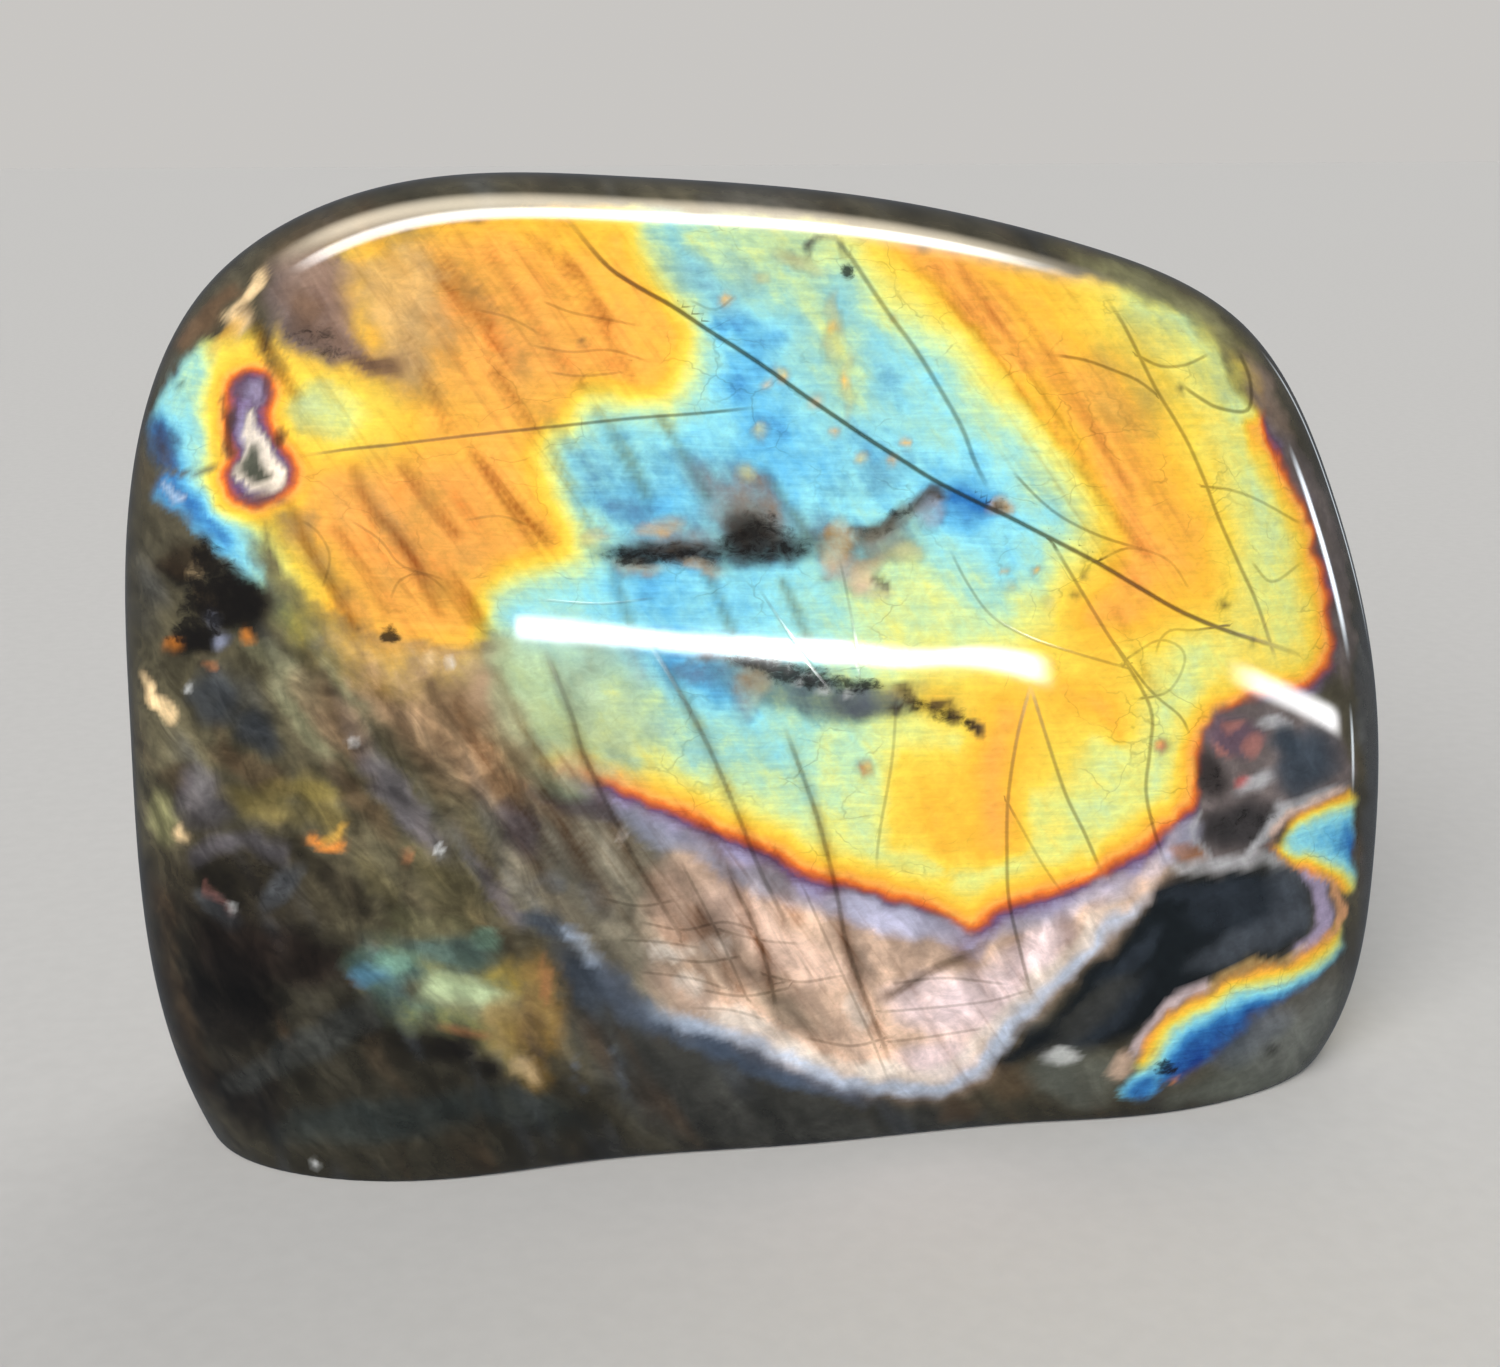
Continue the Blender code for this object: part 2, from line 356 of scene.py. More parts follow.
# The body's large areas, under the flash, in the order they are painted: tone, strength, softness, outline.
GROUND_PATCHES = {
    "smoke": ("smoky olive", 1.0, 40, (
        (140, 640), (260, 600), (420, 650), (520, 660), (560, 770), (560, 900), (420, 940), (300, 930),
        (140, 900))),
    "brown flank": ("tan", 0.9, 34, (
        (330, 640), (400, 640), (470, 636), (530, 680), (570, 770), (510, 790), (450, 770), (400, 720))),
    "green flank": ("pale moss", 0.9, 30, (
        (500, 620), (600, 610), (680, 640), (700, 740), (690, 810), (620, 800), (560, 770), (520, 700))),
    "dark": ("dark ground", 1.0, 26, (
        (120, 880), (200, 900), (330, 925), (420, 1030), (560, 1085), (700, 1130), (900, 1120),
        (1060, 1110), (1330, 1080), (1400, 1200), (1200, 1300), (100, 1300))),
    "steel": ("steel", 1.0, 18, (
        (535, 905), (580, 945), (606, 1000), (680, 1032), (740, 1050), (795, 1078), (850, 1100),
        (960, 1108), (980, 1140), (760, 1150), (640, 1120), (590, 1060), (560, 980))),
    "wedge, grey side": ("grey brown", 1.0, 22, (
        (500, 880), (516, 800), (560, 775), (690, 820), (740, 1000), (740, 1046), (640, 1010), (590, 975),
        (540, 910))),
    "wedge": ("rose brown", 1.0, 20, (
        (650, 900), (680, 850), (720, 850), (800, 890), (960, 935), (1100, 885), (1180, 835), (1176, 872),
        (1126, 922), (1066, 977), (1011, 1027), (971, 1077), (926, 1092), (880, 1086), (838, 1084),
        (790, 1064), (735, 1038), (690, 1020), (660, 985))),
}

# Flat tones over the body and the flash, in the same way.
TONE_PATCHES = {
    # the dark bay at the lower right
    "dark bay": ("ink", 1.0, 11, (
        (1151, 884), (1201, 874), (1252, 868), (1292, 872), (1311, 891), (1315, 921), (1297, 946),
        (1252, 962), (1201, 987), (1161, 1017), (1116, 1042), (1050, 1052), (1000, 1068), (994, 1060),
        (1046, 1017), (1091, 967), (1126, 931), (1148, 905))),
    "grey east corner": ("smoke", 1.0, 16, (
        (1200, 1082), (1256, 1040), (1300, 1010), (1345, 985), (1345, 1010), (1320, 1060), (1270, 1100),
        (1170, 1100))),
    # the inclusion cluster at the right
    "cluster": ("grey plum", 1.0, 8, (
        (1204, 736), (1214, 712), (1248, 702), (1330, 712), (1347, 760), (1347, 792), (1300, 812),
        (1280, 840), (1262, 858), (1225, 872), (1180, 868), (1162, 855), (1194, 815), (1200, 775))),
    # the left side
    "purple bay": ("grey plum", 1.0, 12, (
        (268, 296), (282, 262), (330, 256), (346, 290), (356, 330), (374, 350), (400, 357), (401, 369),
        (376, 375), (348, 368), (316, 360), (290, 352), (272, 330))),
    "khaki veil": ("khaki", 0.8, 22, (
        (352, 256), (432, 244), (440, 320), (425, 380), (404, 392), (376, 340), (358, 305))),
    "olive veil": ("olive", 0.35, 18, ((400, 320), (452, 300), (462, 360), (440, 410), (408, 400))),
    "ring core": ("cream", 0.95, 4, (
        (247, 414), (254, 412), (264, 434), (276, 458), (288, 474), (284, 488), (262, 492), (240, 488),
        (232, 478), (240, 460), (244, 436))),
    "ring grey": ("deep moss", 0.95, 5, (
        (249, 438), (258, 452), (270, 476), (262, 482), (246, 482), (238, 476), (243, 456))),
}

# Soft clouds: tone, strength, then places: across, down, half length, half width, and how many degrees it
# leans down from level.
CLOUDS = (
    # smoke over the lower left
    ("soot", 0.95, ((239, 602, 36, 26, 60), (197, 643, 32, 14, -10), (176, 572, 18, 12, 60))),
    ("umber", 0.75, (
        (188, 560, 18, 26, 80), (205, 600, 20, 12, 60), (179, 777, 14, 16, 80), (211, 669, 12, 7, 10))),
    ("peach", 0.95, ((152, 692, 20, 6, 75),)),
    ("peach", 0.6, ((164, 709, 16, 8, 55),)),
    ("deep slate", 0.75, ((213, 699, 26, 24, 60), (258, 734, 30, 16, 40))),
    ("pale moss", 0.45, ((285, 671, 56, 14, 40), (333, 669, 52, 10, 60), (300, 720, 44, 9, 50))),
    ("khaki brown", 0.75, ((451, 713, 54, 28, 50), (500, 770, 30, 18, 45))),
    ("tan", 0.45, ((332, 716, 50, 20, 50), (380, 690, 60, 18, 45), (470, 760, 50, 18, 50))),
    ("deep slate", 0.35, ((240, 700, 44, 20, 50),)),
    ("bark", 0.5, (
        (437, 699, 34, 6, 60), (520, 800, 40, 14, 45), (252, 770, 44, 12, 25), (360, 800, 50, 12, 50))),
    ("mauve grey", 0.6, ((400, 800, 76, 15, 53), (202, 800, 30, 26, 60), (498, 893, 44, 10, 52))),
    ("gold moss", 0.4, ((262, 806, 40, 15, 20), (322, 806, 36, 17, 62), (300, 790, 40, 10, 5))),
    ("lichen", 0.7, ((162, 819, 24, 14, 85),)),
    ("red soot", 0.6, ((244, 884, 104, 54, 5),)),
    ("soot", 0.6, ((238, 880, 50, 26, 5),)),
    ("slate", 0.4, ((282, 884, 26, 14, -45), (218, 908, 26, 10, 40))),
    ("soot", 0.6, ((359, 902, 24, 12, 60), (396, 916, 20, 11, 50), (330, 880, 20, 10, 70))),
    ("moss", 0.5, ((377, 880, 34, 11, 55), (451, 893, 46, 22, 50), (426, 860, 30, 10, 50))),
    ("rust", 0.55, ((405, 856, 9, 6, 60), (211, 668, 8, 5, 0))),
    ("red soot", 0.85, ((294, 960, 60, 26, 5), (230, 950, 40, 30, 0))),
    ("soot", 0.9, ((226, 1000, 56, 50, 40), (250, 1096, 50, 30, 40))),
    # the flash at the lower left
    ("teal", 0.75, ((384, 970, 36, 18, 10), (451, 953, 50, 15, 8))),
    ("sea blue", 0.35, ((368, 976, 18, 12, 0),)),
    ("pale teal", 0.5, ((396, 962, 18, 12, 0), (486, 939, 16, 10, 10), (437, 997, 22, 13, 0))),
    ("pale moss", 0.9, ((468, 998, 54, 18, 12),)),
    ("sage", 0.55, ((462, 990, 40, 14, 12),)),
    ("ochre", 0.7, ((507, 1022, 30, 24, 60), (540, 999, 36, 14, 82))),
    ("bark", 0.5, ((532, 1040, 40, 14, 80),)),
    ("peach", 0.3, ((525, 1068, 18, 9, 40),)),
    ("rust", 0.6, ((465, 1031, 20, 4, 10), (546, 985, 24, 6, 82))),
    ("soot", 0.85, ((448, 1048, 30, 14, 10), (488, 1068, 16, 9, 30))),
    # painted reflection: a soft grey band across the lower left, where the polish mirrors the pale floor
    ("painted reflection grey", 0.7, ((320, 1040, 96, 17, -27),)),
    ("deep teal", 0.5, ((377, 1120, 90, 22, -5),)),
    ("deep teal", 0.35, ((516, 1108, 66, 20, 10),)),
    ("lichen", 0.25, ((430, 925, 40, 14, 10),)),
    # the wedge under the fringe
    ("bark", 0.55, ((556, 790, 26, 12, 20),)),
    ("violet grey", 0.75, ((575, 800, 50, 14, 22), (520, 830, 30, 16, 60))),
    ("grey ground", 0.55, ((565, 858, 40, 24, 50),)),
    ("slate", 0.4, ((551, 885, 16, 9, 0), (600, 900, 24, 9, 50))),
    ("blue grey", 0.7, ((669, 836, 66, 13, 23), (760, 882, 60, 12, 22))),
    ("mauve", 0.85, ((905, 922, 66, 15, 14), (858, 912, 40, 14, 20))),
    ("mauve", 0.55, ((1045, 917, 50, 12, -22), (1110, 890, 30, 12, -30))),
    ("rose", 0.6, ((742, 914, 44, 24, 30), (800, 960, 50, 20, 20))),
    ("umber", 0.35, (
        (650, 935, 50, 16, 55), (700, 900, 40, 12, 55), (780, 1000, 40, 14, 50), (745, 960, 46, 12, 57),
        (610, 900, 40, 14, 57), (835, 1020, 36, 11, 57), (860, 960, 40, 12, 55))),
    ("grey brown", 0.45, ((700, 968, 46, 20, 25), (636, 926, 40, 16, 40), (790, 1012, 40, 14, 25))),
    ("pale rose", 0.8, (
        (985, 1000, 60, 30, -40), (930, 1000, 40, 26, 0), (1040, 950, 40, 18, -45),
        (936, 1060, 36, 18, 0))),
    ("bone", 0.5, (
        (669, 950, 24, 9, 12), (716, 950, 14, 10, 0), (800, 1058, 28, 9, 22), (857, 1013, 18, 9, 60),
        (880, 1070, 22, 8, 0), (745, 1020, 24, 9, 20), (690, 985, 14, 9, 30))),
    ("steel blue", 0.75, (
        (617, 992, 52, 17, 42), (690, 1036, 50, 12, 24), (752, 1060, 56, 11, 24),
        (820, 1086, 50, 10, 14))),
    ("deep slate", 0.9, ((546, 924, 28, 13, 20), (582, 976, 40, 15, 65))),
    # the cluster at the right
    ("plum", 0.8, ((1232, 735, 28, 20, 0),)),
    ("dusky rose", 0.75, ((1222, 750, 12, 5, 30), (1253, 742, 8, 11, 0), (1234, 722, 12, 5, -10))),
    ("soot", 0.72, ((1212, 776, 24, 16, 60),)),
    ("pale grey", 0.75, ((1256, 784, 20, 8, -30), (1276, 722, 18, 7, 10))),
    ("slate ink", 0.95, ((1307, 762, 36, 26, -50), (1284, 742, 16, 18, 0))),
    ("ink", 0.80, ((1242, 826, 50, 22, -8),)),
    ("mauve", 0.5, ((1181, 838, 24, 16, -50), (1160, 862, 18, 12, -30))),
    ("rust", 0.7, ((1190, 856, 22, 8, 20),)),
    # the bay
    ("slate", 0.55, ((1252, 940, 60, 15, -24), (1290, 902, 34, 22, 78))),
    ("deep slate", 0.45, ((1240, 905, 50, 26, -10), (1100, 1020, 60, 16, -42))),
    ("deep slate", 0.5, ((1201, 892, 44, 8, -5), (1130, 960, 40, 9, -45))),
    ("steel", 0.7, ((1091, 1012, 52, 14, -40),)),
    ("smoke", 0.7, ((1084, 1078, 38, 28, -10), (1050, 1078, 24, 18, 0))),
    # a painted highlight
    ("painted glint white", 0.5, ((1063, 1057, 14, 8, -5),)),
    ("steel blue", 0.45, ((1252, 1036, 44, 18, -34),)),
    ("pale grey", 0.12, ((1296, 1024, 60, 30, -45),)),
    ("bark", 0.4, ((1006, 1082, 26, 18, 0), (960, 1110, 20, 12, 0))),
    ("rose brown", 0.6, ((1121, 1066, 11, 14, 0),)),
    # the left side
    ("mauve brown", 0.55, ((320, 268, 40, 18, 5), (346, 300, 14, 30, 0))),
    ("soot", 0.40, ((318, 336, 34, 14, 25), (304, 310, 14, 20, 0))),
    ("ink", 0.85, ((376, 364, 30, 10, 6),)),
    ("bark", 0.4, ((300, 300, 26, 14, 40),)),
    ("peach", 0.9, ((254, 290, 22, 7, -60), (242, 322, 16, 9, -70))),
    ("amber", 0.6, ((226, 340, 22, 9, -50),)),
    ("bark", 0.5, ((268, 350, 36, 10, 55),)),
    ("pale straw", 0.55, ((318, 410, 32, 26, 20),)),
    ("lilac", 0.75, ((257, 392, 8, 15, 0),)),
    ("plum", 0.7, ((240, 385, 10, 14, 0), (268, 388, 6, 14, 0), (256, 498, 26, 5, 0))),
    ("umber", 0.85, ((230, 432, 7, 22, 0), (278, 440, 5, 10, 0))),
    ("smoke", 0.3, ((166, 372, 20, 10, -60),)),
    ("deep slate", 0.5, ((162, 444, 28, 14, 78),)),
    # painted reflection: grey bands down the right rim, where the polish mirrors the surroundings at a
    # glancing angle
    ("slate", 0.45, ((1368, 700, 90, 12, 86), (1374, 850, 90, 12, 94))),
    ("olive", 0.5, ((262, 560, 26, 10, 60), (300, 600, 40, 14, 50))),
    ("khaki brown", 0.45, ((300, 545, 36, 14, 45), (300, 525, 20, 14, 0))),
    # round the middle's dark inclusions
    ("blue slate", 0.65, ((626, 513, 26, 15, 0), (690, 672, 16, 9, 20))),
    ("dove", 0.5, ((745, 500, 50, 26, 50), (745, 530, 80, 26, -4), (668, 540, 56, 14, 0))),
    ("tan", 0.4, ((712, 494, 50, 18, 50), (760, 504, 34, 22, 60))),
    ("dove", 0.6, ((904, 513, 46, 11, -35), (890, 545, 22, 18, 0))),
    ("umber", 0.75, ((927, 499, 20, 10, -30), (880, 525, 30, 8, -35))),
    ("amber", 0.5, ((836, 545, 16, 24, 20), (868, 574, 22, 12, -40))),
    ("umber", 0.5, ((856, 530, 8, 5, 0), (826, 580, 10, 5, 20))),
    ("rose brown", 0.6, ((848, 573, 30, 14, 15), (870, 590, 20, 10, 0))),
    ("amber", 0.45, (
        (596, 538, 14, 9, 0), (659, 527, 24, 9, -5), (705, 567, 26, 9, 10), (640, 568, 30, 8, 5))),
    ("pale blue", 0.5, ((931, 517, 14, 16, 0),)),
    ("amber", 0.6, ((1001, 506, 14, 12, 0),)),
    ("umber", 0.9, ((1000, 507, 8, 8, 0),)),
    ("umber", 0.75, (
        (655, 552, 54, 10, -4), (765, 548, 62, 19, -4), (742, 530, 24, 14, 0), (883, 582, 7, 8, 0))),
    ("soot", 0.38, (
        (655, 554, 60, 13, -2), (760, 550, 64, 18, -3), (748, 526, 30, 24, 70), (905, 512, 44, 11, -32))),
    ("grey brown", 0.5, ((884, 540, 50, 22, -30),)),
    # the smear under the streak
    ("slate", 0.85, ((800, 690, 90, 24, 12), (870, 700, 40, 18, 0))),
    ("bark", 0.7, ((740, 662, 40, 7, 8), (706, 655, 16, 5, 0))),
    ("amber", 0.28, ((750, 692, 16, 26, 20), (917, 694, 24, 12, 10), (948, 700, 26, 12, 30))),
    ("umber", 0.9, (
        (912, 703, 12, 7, 20), (938, 706, 12, 6, 0), (955, 716, 10, 5, 40), (974, 728, 10, 4, 50),
        (905, 688, 10, 5, 0), (892, 712, 8, 6, 0))),
    # the pool and the amber side
    ("smoke", 0.22, ((620, 470, 50, 40, 0), (870, 480, 50, 14, -20))),
    ("pale straw", 0.22, ((700, 268, 64, 40, 30),)),
    ("bright peach", 0.22, ((440, 330, 150, 90, 20), (400, 540, 120, 90, 20))),
    ("pale grey", 0.14, ((620, 720, 140, 60, 20), (820, 330, 160, 60, 60))),
    ("straw", 0.55, (
        (834, 330, 8, 34, 0), (848, 385, 7, 34, 0), (800, 262, 30, 8, 20), (763, 279, 8, 6, 0),
        (905, 555, 16, 12, 0))),
    ("khaki", 0.3, ((1130, 390, 60, 40, 60),)),
    ("khaki brown", 0.25, ((1150, 330, 40, 18, 25), (1215, 380, 30, 16, 55))),
    ("bark", 0.7, ((1242, 376, 30, 12, 66), (1226, 345, 18, 9, 50))),
    # partly a soft edge to the flash and partly painted light: lighter olive and lichen along the top rim,
    # in place of the overhead glow's reflection that doesn't reach there
    ("olive", 0.6, ((1110, 262, 60, 10, 14), (1180, 290, 46, 11, 32), (1228, 330, 40, 12, 52))),
    ("lichen", 0.5, ((1140, 286, 60, 14, 24), (1206, 326, 40, 14, 45))),
    ("mauve brown", 0.6, ((1266, 400, 44, 13, 62),)),
    ("grey plum", 0.7, ((1304, 480, 54, 12, 62), (1336, 560, 56, 10, 80), (1344, 640, 44, 9, 90))),
    ("sage", 0.62, ((585, 700, 84, 62, 40), (545, 745, 60, 34, 40), (520, 680, 50, 30, 80))),
    ("lichen", 0.2, ((600, 690, 40, 30, 60), (560, 740, 40, 24, 40))),
    ("tan", 0.36, ((505, 720, 60, 22, 60), (560, 765, 50, 18, 20))),
    ("umber", 0.3, (
        (470, 290, 40, 9, 55), (500, 330, 40, 8, 57), (400, 540, 60, 10, 57), (350, 600, 40, 10, 57),
        (560, 430, 30, 8, 57))),
)

# Where dark grains gather, thick in the middle and loose at the edge: strength, softness, outline.
SOOT_PATCHES = {
    "dark band, left": (0.72, 14, (
        (598, 558), (628, 544), (680, 543), (714, 550), (680, 566), (630, 568))),
    "dark band, middle": (0.62, 20, (
        (696, 550), (724, 534), (742, 512), (768, 506), (792, 524), (812, 544), (806, 562), (770, 568),
        (704, 564))),
    "dark band, wisp": (0.52, 14, ((852, 532), (896, 508), (940, 490), (930, 508), (880, 538))),
    "smear": (0.78, 10, (
        (716, 656), (770, 656), (850, 676), (890, 684), (850, 694), (790, 688), (760, 674))),
    "smear's tail": (0.62, 12, (
        (898, 690), (926, 696), (946, 706), (968, 714), (988, 738), (962, 728), (934, 722), (910, 710))),
    "foot freckle": (0.95, 8, ((378, 632), (390, 626), (402, 638), (392, 645), (380, 642))),
    "brow freckle": (0.80, 8, ((840, 268), (850, 258), (858, 270), (850, 282), (842, 278))),
    "crack knot": (0.55, 8, ((995, 500), (1006, 495), (1010, 507), (1001, 515))),
    "black island": (0.75, 14, (
        (190, 550), (204, 532), (228, 556), (247, 576), (270, 600), (262, 618), (240, 626), (212, 645),
        (180, 652), (166, 640), (180, 600), (186, 570))),
    "cluster, left hole": (0.45, 9, ((1202, 760), (1222, 764), (1228, 790), (1212, 806), (1200, 790))),
    "cluster, lower hole": (0.4, 12, (
        (1204, 815), (1245, 800), (1284, 804), (1276, 830), (1245, 845), (1212, 840))),
    "dark ring": (0.42, 24, (
        (190, 860), (230, 840), (280, 855), (304, 886), (290, 910), (250, 924), (206, 905), (188, 885))),
    "purple bay's grains": (0.5, 12, (
        (280, 330), (330, 320), (350, 350), (390, 362), (350, 366), (290, 350))),
    "band's dark dot": (0.9, 5, ((1154, 1064), (1166, 1058), (1180, 1070), (1168, 1076), (1156, 1074))),
    "floor's dark lip": (0.6, 12, ((430, 1036), (466, 1036), (478, 1048), (466, 1064), (444, 1052))),
}

# Narrow marks drawn as lines, among them a painted highlight and a painted reflection: tone, strength, half
# width, softness, points.
STROKES = {
    "step in the wedge": ("bark", 0.7, 3.0, 5, (
        (990, 926), (978, 948), (940, 968), (902, 986), (878, 1006))),
    "wedge's pale edge": ("pale blue", 0.75, 1.4, 11, (
        (640, 1006), (680, 1020), (737, 1036), (792, 1060), (842, 1080), (884, 1086), (930, 1091),
        (962, 1078), (990, 1054), (1017, 1018), (1045, 990), (1082, 958), (1100, 934), (1137, 906),
        (1150, 884))),
    "wedge's warm edge": ("bone", 0.6, 3, 10, (
        (690, 1006), (737, 1022), (792, 1046), (842, 1067), (884, 1072), (930, 1078), (956, 1064),
        (982, 1040), (1036, 984), (1076, 946), (1096, 922), (1130, 896))),
    "hook of the arc": ("pale blue", 0.35, 2.0, 9, ((560, 930), (578, 937), (590, 950), (598, 968))),
    "pale edge of the bay": ("pale grey", 0.6, 2.0, 9, (
        (1172, 872), (1205, 868), (1236, 866), (1262, 861), (1290, 866))),
    "lilac rim of the bay": ("lilac", 0.75, 3.5, 7, (
        (1296, 868), (1314, 878), (1324, 898), (1326, 922), (1314, 942), (1290, 954))),
    "peach rim of the bay": ("bright peach", 0.8, 2.5, 4, (
        (1310, 868), (1330, 880), (1338, 902), (1338, 928), (1324, 947))),
    "rose edge over the band": ("pale rose", 0.65, 3, 6, (
        (1130, 1060), (1142, 1040), (1160, 1014), (1192, 992), (1210, 985))),
    "gold edge over the band": ("khaki", 0.5, 2, 5, ((1200, 990), (1240, 970), (1280, 960), (1312, 944))),
    "cluster's pale seam": ("pale grey", 0.75, 3.5, 6, (
        (1345, 788), (1310, 796), (1280, 812), (1264, 834), (1248, 856), (1224, 864), (1200, 864))),
    "cluster's left seam": ("pale grey", 0.5, 1.5, 5, (
        (1204, 806), (1195, 826), (1198, 846), (1216, 862))),
    "small wedge's rose edge": ("rose", 0.7, 2.5, 5, ((1268, 838), (1284, 818), (1306, 804), (1346, 790))),
    "line across the left rim": ("smoke", 0.7, 2.0, 3, ((152, 470), (176, 475), (203, 472), (224, 468))),
    "pale edge of the tail": ("pale blue", 0.75, 1.6, 4, ((160, 480), (172, 492), (186, 503))),
    "grey scratch": ("slate", 0.6, 1.6, 3, ((570, 1050), (578, 1076), (588, 1097))),
    "long scratch": ("slate", 0.5, 1.6, 3, ((604, 1018), (614, 1056), (627, 1097))),
    "arc in the dark ring": ("dusky rose", 0.4, 1.6, 5, ((206, 876), (216, 898), (236, 913))),
    "brow of the dark ring": ("mauve grey", 0.5, 4, 12, ((183, 858), (216, 846), (253, 842), (292, 858))),
    "orange lip": ("bright rust", 0.6, 0.6, 7, ((304, 838), (320, 846), (336, 847), (346, 840))),
    "gold lip": ("amber", 0.4, 1.0, 9, ((322, 838), (338, 834), (344, 820))),
    # painted reflection: the dark brown surroundings mirrored along the left rim
    "left rim's painted brown reflection": ("umber", 0.6, 6, 10, ((160, 880), (170, 960), (186, 1030), (214, 1100))),
    "rusty rim": ("brown rim", 0.8, 8, 10, ((176, 352), (204, 320), (236, 284))),
    # a painted highlight
    "painted glint in the smoke": ("painted glint white", 0.6, 1.5, 3, ((434, 843), (448, 860))),
    "loop at the brow": ("umber", 0.55, 1.6, 3, (
        (806, 262), (812, 244), (832, 236), (846, 250), (850, 262))),
    "dark ring's edge": ("umber", 0.7, 1.6, 3, ((222, 390), (222, 405), (224, 425))),
}

# Broad dark streaks along the cleavage: strength, half width in px, lines.
VEILS = (
    (0.62, 4.5,
     ((431, 267), (460, 296), (495, 332)), ((491, 364), (515, 398), (541, 437)),
     ((350, 458), (368, 503), (404, 547), (426, 588), (446, 622)), ((284, 497), (318, 562), (357, 635)),
     ((468, 447), (508, 500), (555, 548)), ((252, 322), (279, 369), (303, 404)),
     ((397, 456), (432, 505), (462, 540)), ((556, 250), (590, 290), (612, 330))),
    (0.40, 3.5,
     ((480, 240), (520, 300), (560, 360), (600, 400)), ((540, 236), (590, 310), (640, 390)),
     ((440, 250), (470, 300), (500, 350), (530, 385)), ((404, 330), (430, 390), (452, 440)),
     ((330, 520), (362, 568), (392, 622)), ((440, 560), (470, 600), (490, 640)),
     ((907, 256), (985, 343), (1031, 407), (1081, 471), (1113, 513), (1159, 572)),
     ((952, 260), (1012, 343), (1063, 426), (1095, 481)),
     ((985, 270), (1040, 340), (1090, 420), (1140, 510)), ((930, 262), (960, 300), (1000, 350)),
     ((1110, 600), (1130, 640), (1160, 700))),
    (0.50, 4.0,
     ((591, 404), (613, 436), (636, 480), (654, 507)), ((608, 420), (632, 460), (650, 500)),
     ((656, 410), (689, 463), (712, 503)), ((761, 463), (788, 507), (815, 545)),
     ((546, 436), (566, 480), (592, 530)), ((700, 560), (720, 600), (735, 640)),
     ((610, 560), (625, 610), (636, 640)), ((780, 575), (800, 620), (812, 650))),
    (0.55, 4.5,
     ((544, 647), (570, 710), (585, 757), (630, 850), (680, 935)),
     ((653, 647), (684, 700), (711, 752), (745, 830), (774, 893), (790, 940)),
     ((784, 725), (808, 790), (821, 830), (836, 890), (847, 945), (870, 1010), (894, 1066)),
     ((490, 660), (520, 720), (556, 790), (600, 870)), ((480, 730), (520, 800), (560, 870)),
     ((695, 809), (753, 924), (776, 1008))),
    (0.55, 6.5,
     ((768, 851), (784, 890), (800, 930)), ((591, 790), (620, 840), (640, 880)),
     ((643, 867), (668, 910), (690, 945)), ((540, 776), (580, 860), (612, 914)),
     ((450, 690), (500, 790), (550, 880)), ((690, 900), (720, 960), (745, 1000))),
    (0.35, 7.0,
     ((360, 660), (420, 760), (480, 860), (520, 930)), ((300, 640), (340, 720), (380, 800)),
     ((1016, 930), (1020, 970), (1030, 1000)), ((1060, 910), (1066, 940), (1060, 960)),
     ((1100, 900), (1104, 920), (1098, 930))),
)

# Small round marks, some of them painted highlights: tone, radius, places.
SPECKS = (
    ("soot", 4, ((357, 632), (1086, 577), (1076, 597), (1226, 607), (1251, 644), (1272, 1051))),
    ("bark", 4.5, ((936, 706), (958, 716), (975, 727), (247, 312), (584, 340))),
    ("amber", 4.5, ((829, 324), (847, 380), (834, 430), (861, 457), (902, 444), (727, 299), (890, 462))),
    ("amber", 4, ((783, 376), (892, 321), (904, 448), (1005, 572), (1035, 568), (1160, 742), (870, 765))),
    ("peach", 5, ((814, 402), (192, 572), (180, 833), (430, 660), (764, 382), (230, 318))),
    ("straw", 6, ((1049, 600), (760, 432), (780, 370), (1012, 590), (745, 470), (863, 459))),
    ("bright rust", 6, ((247, 634), (172, 645))),
    ("bright rust", 4.5, ((862, 768),)),
    ("rose red", 5, ((1243, 782), (1162, 746))),
    ("blue grey", 6, ((213, 620), (222, 640))),
    # painted highlights: small white glints, several of them the speckles in the long streak of reflected
    # light
    ("painted glint white", 3.6, (
        (314, 1165), (620, 837), (234, 909), (452, 660), (350, 742), (190, 690), (792, 668), (776, 664),
        (812, 676), (820, 690), (800, 682), (766, 662), (846, 690))),
    ("soot", 4, ((1180, 388), (180, 386))),
    ("bright rust", 3.5, ((1152, 1056), (1176, 1078))),
)

# How strongly the fine cleavage shows, over a little everywhere: strength, softness, outline.
STREAKED = {
    "amber west": (0.7, 40, (
        (250, 300), (450, 230), (600, 230), (680, 330), (600, 420), (560, 560), (480, 650), (320, 620))),
    "flank and wedge": (1.0, 50, (
        (420, 700), (600, 760), (760, 840), (860, 900), (960, 940), (1060, 960), (980, 1080), (820, 1060),
        (620, 960))),
    "amber east": (0.5, 40, ((900, 260), (1080, 290), (1160, 420), (1180, 600), (1060, 560), (960, 400))),
}

# Where the body is smoky, over a little everywhere: strength, softness, outline.
SMOKY = {
    "lower left": (0.60, 40, (
        (130, 560), (260, 610), (420, 680), (540, 760), (560, 900), (520, 960), (420, 1000), (360, 1080),
        (140, 1120))),
    "wedge": (0.25, 30, (
        (560, 800), (700, 840), (830, 900), (960, 940), (1150, 850), (1060, 970), (970, 1070), (840, 1070),
        (680, 1010), (560, 920))),
    "floor": (0.30, 40, ((360, 940), (560, 960), (640, 1080), (900, 1120), (600, 1180), (300, 1160))),
}

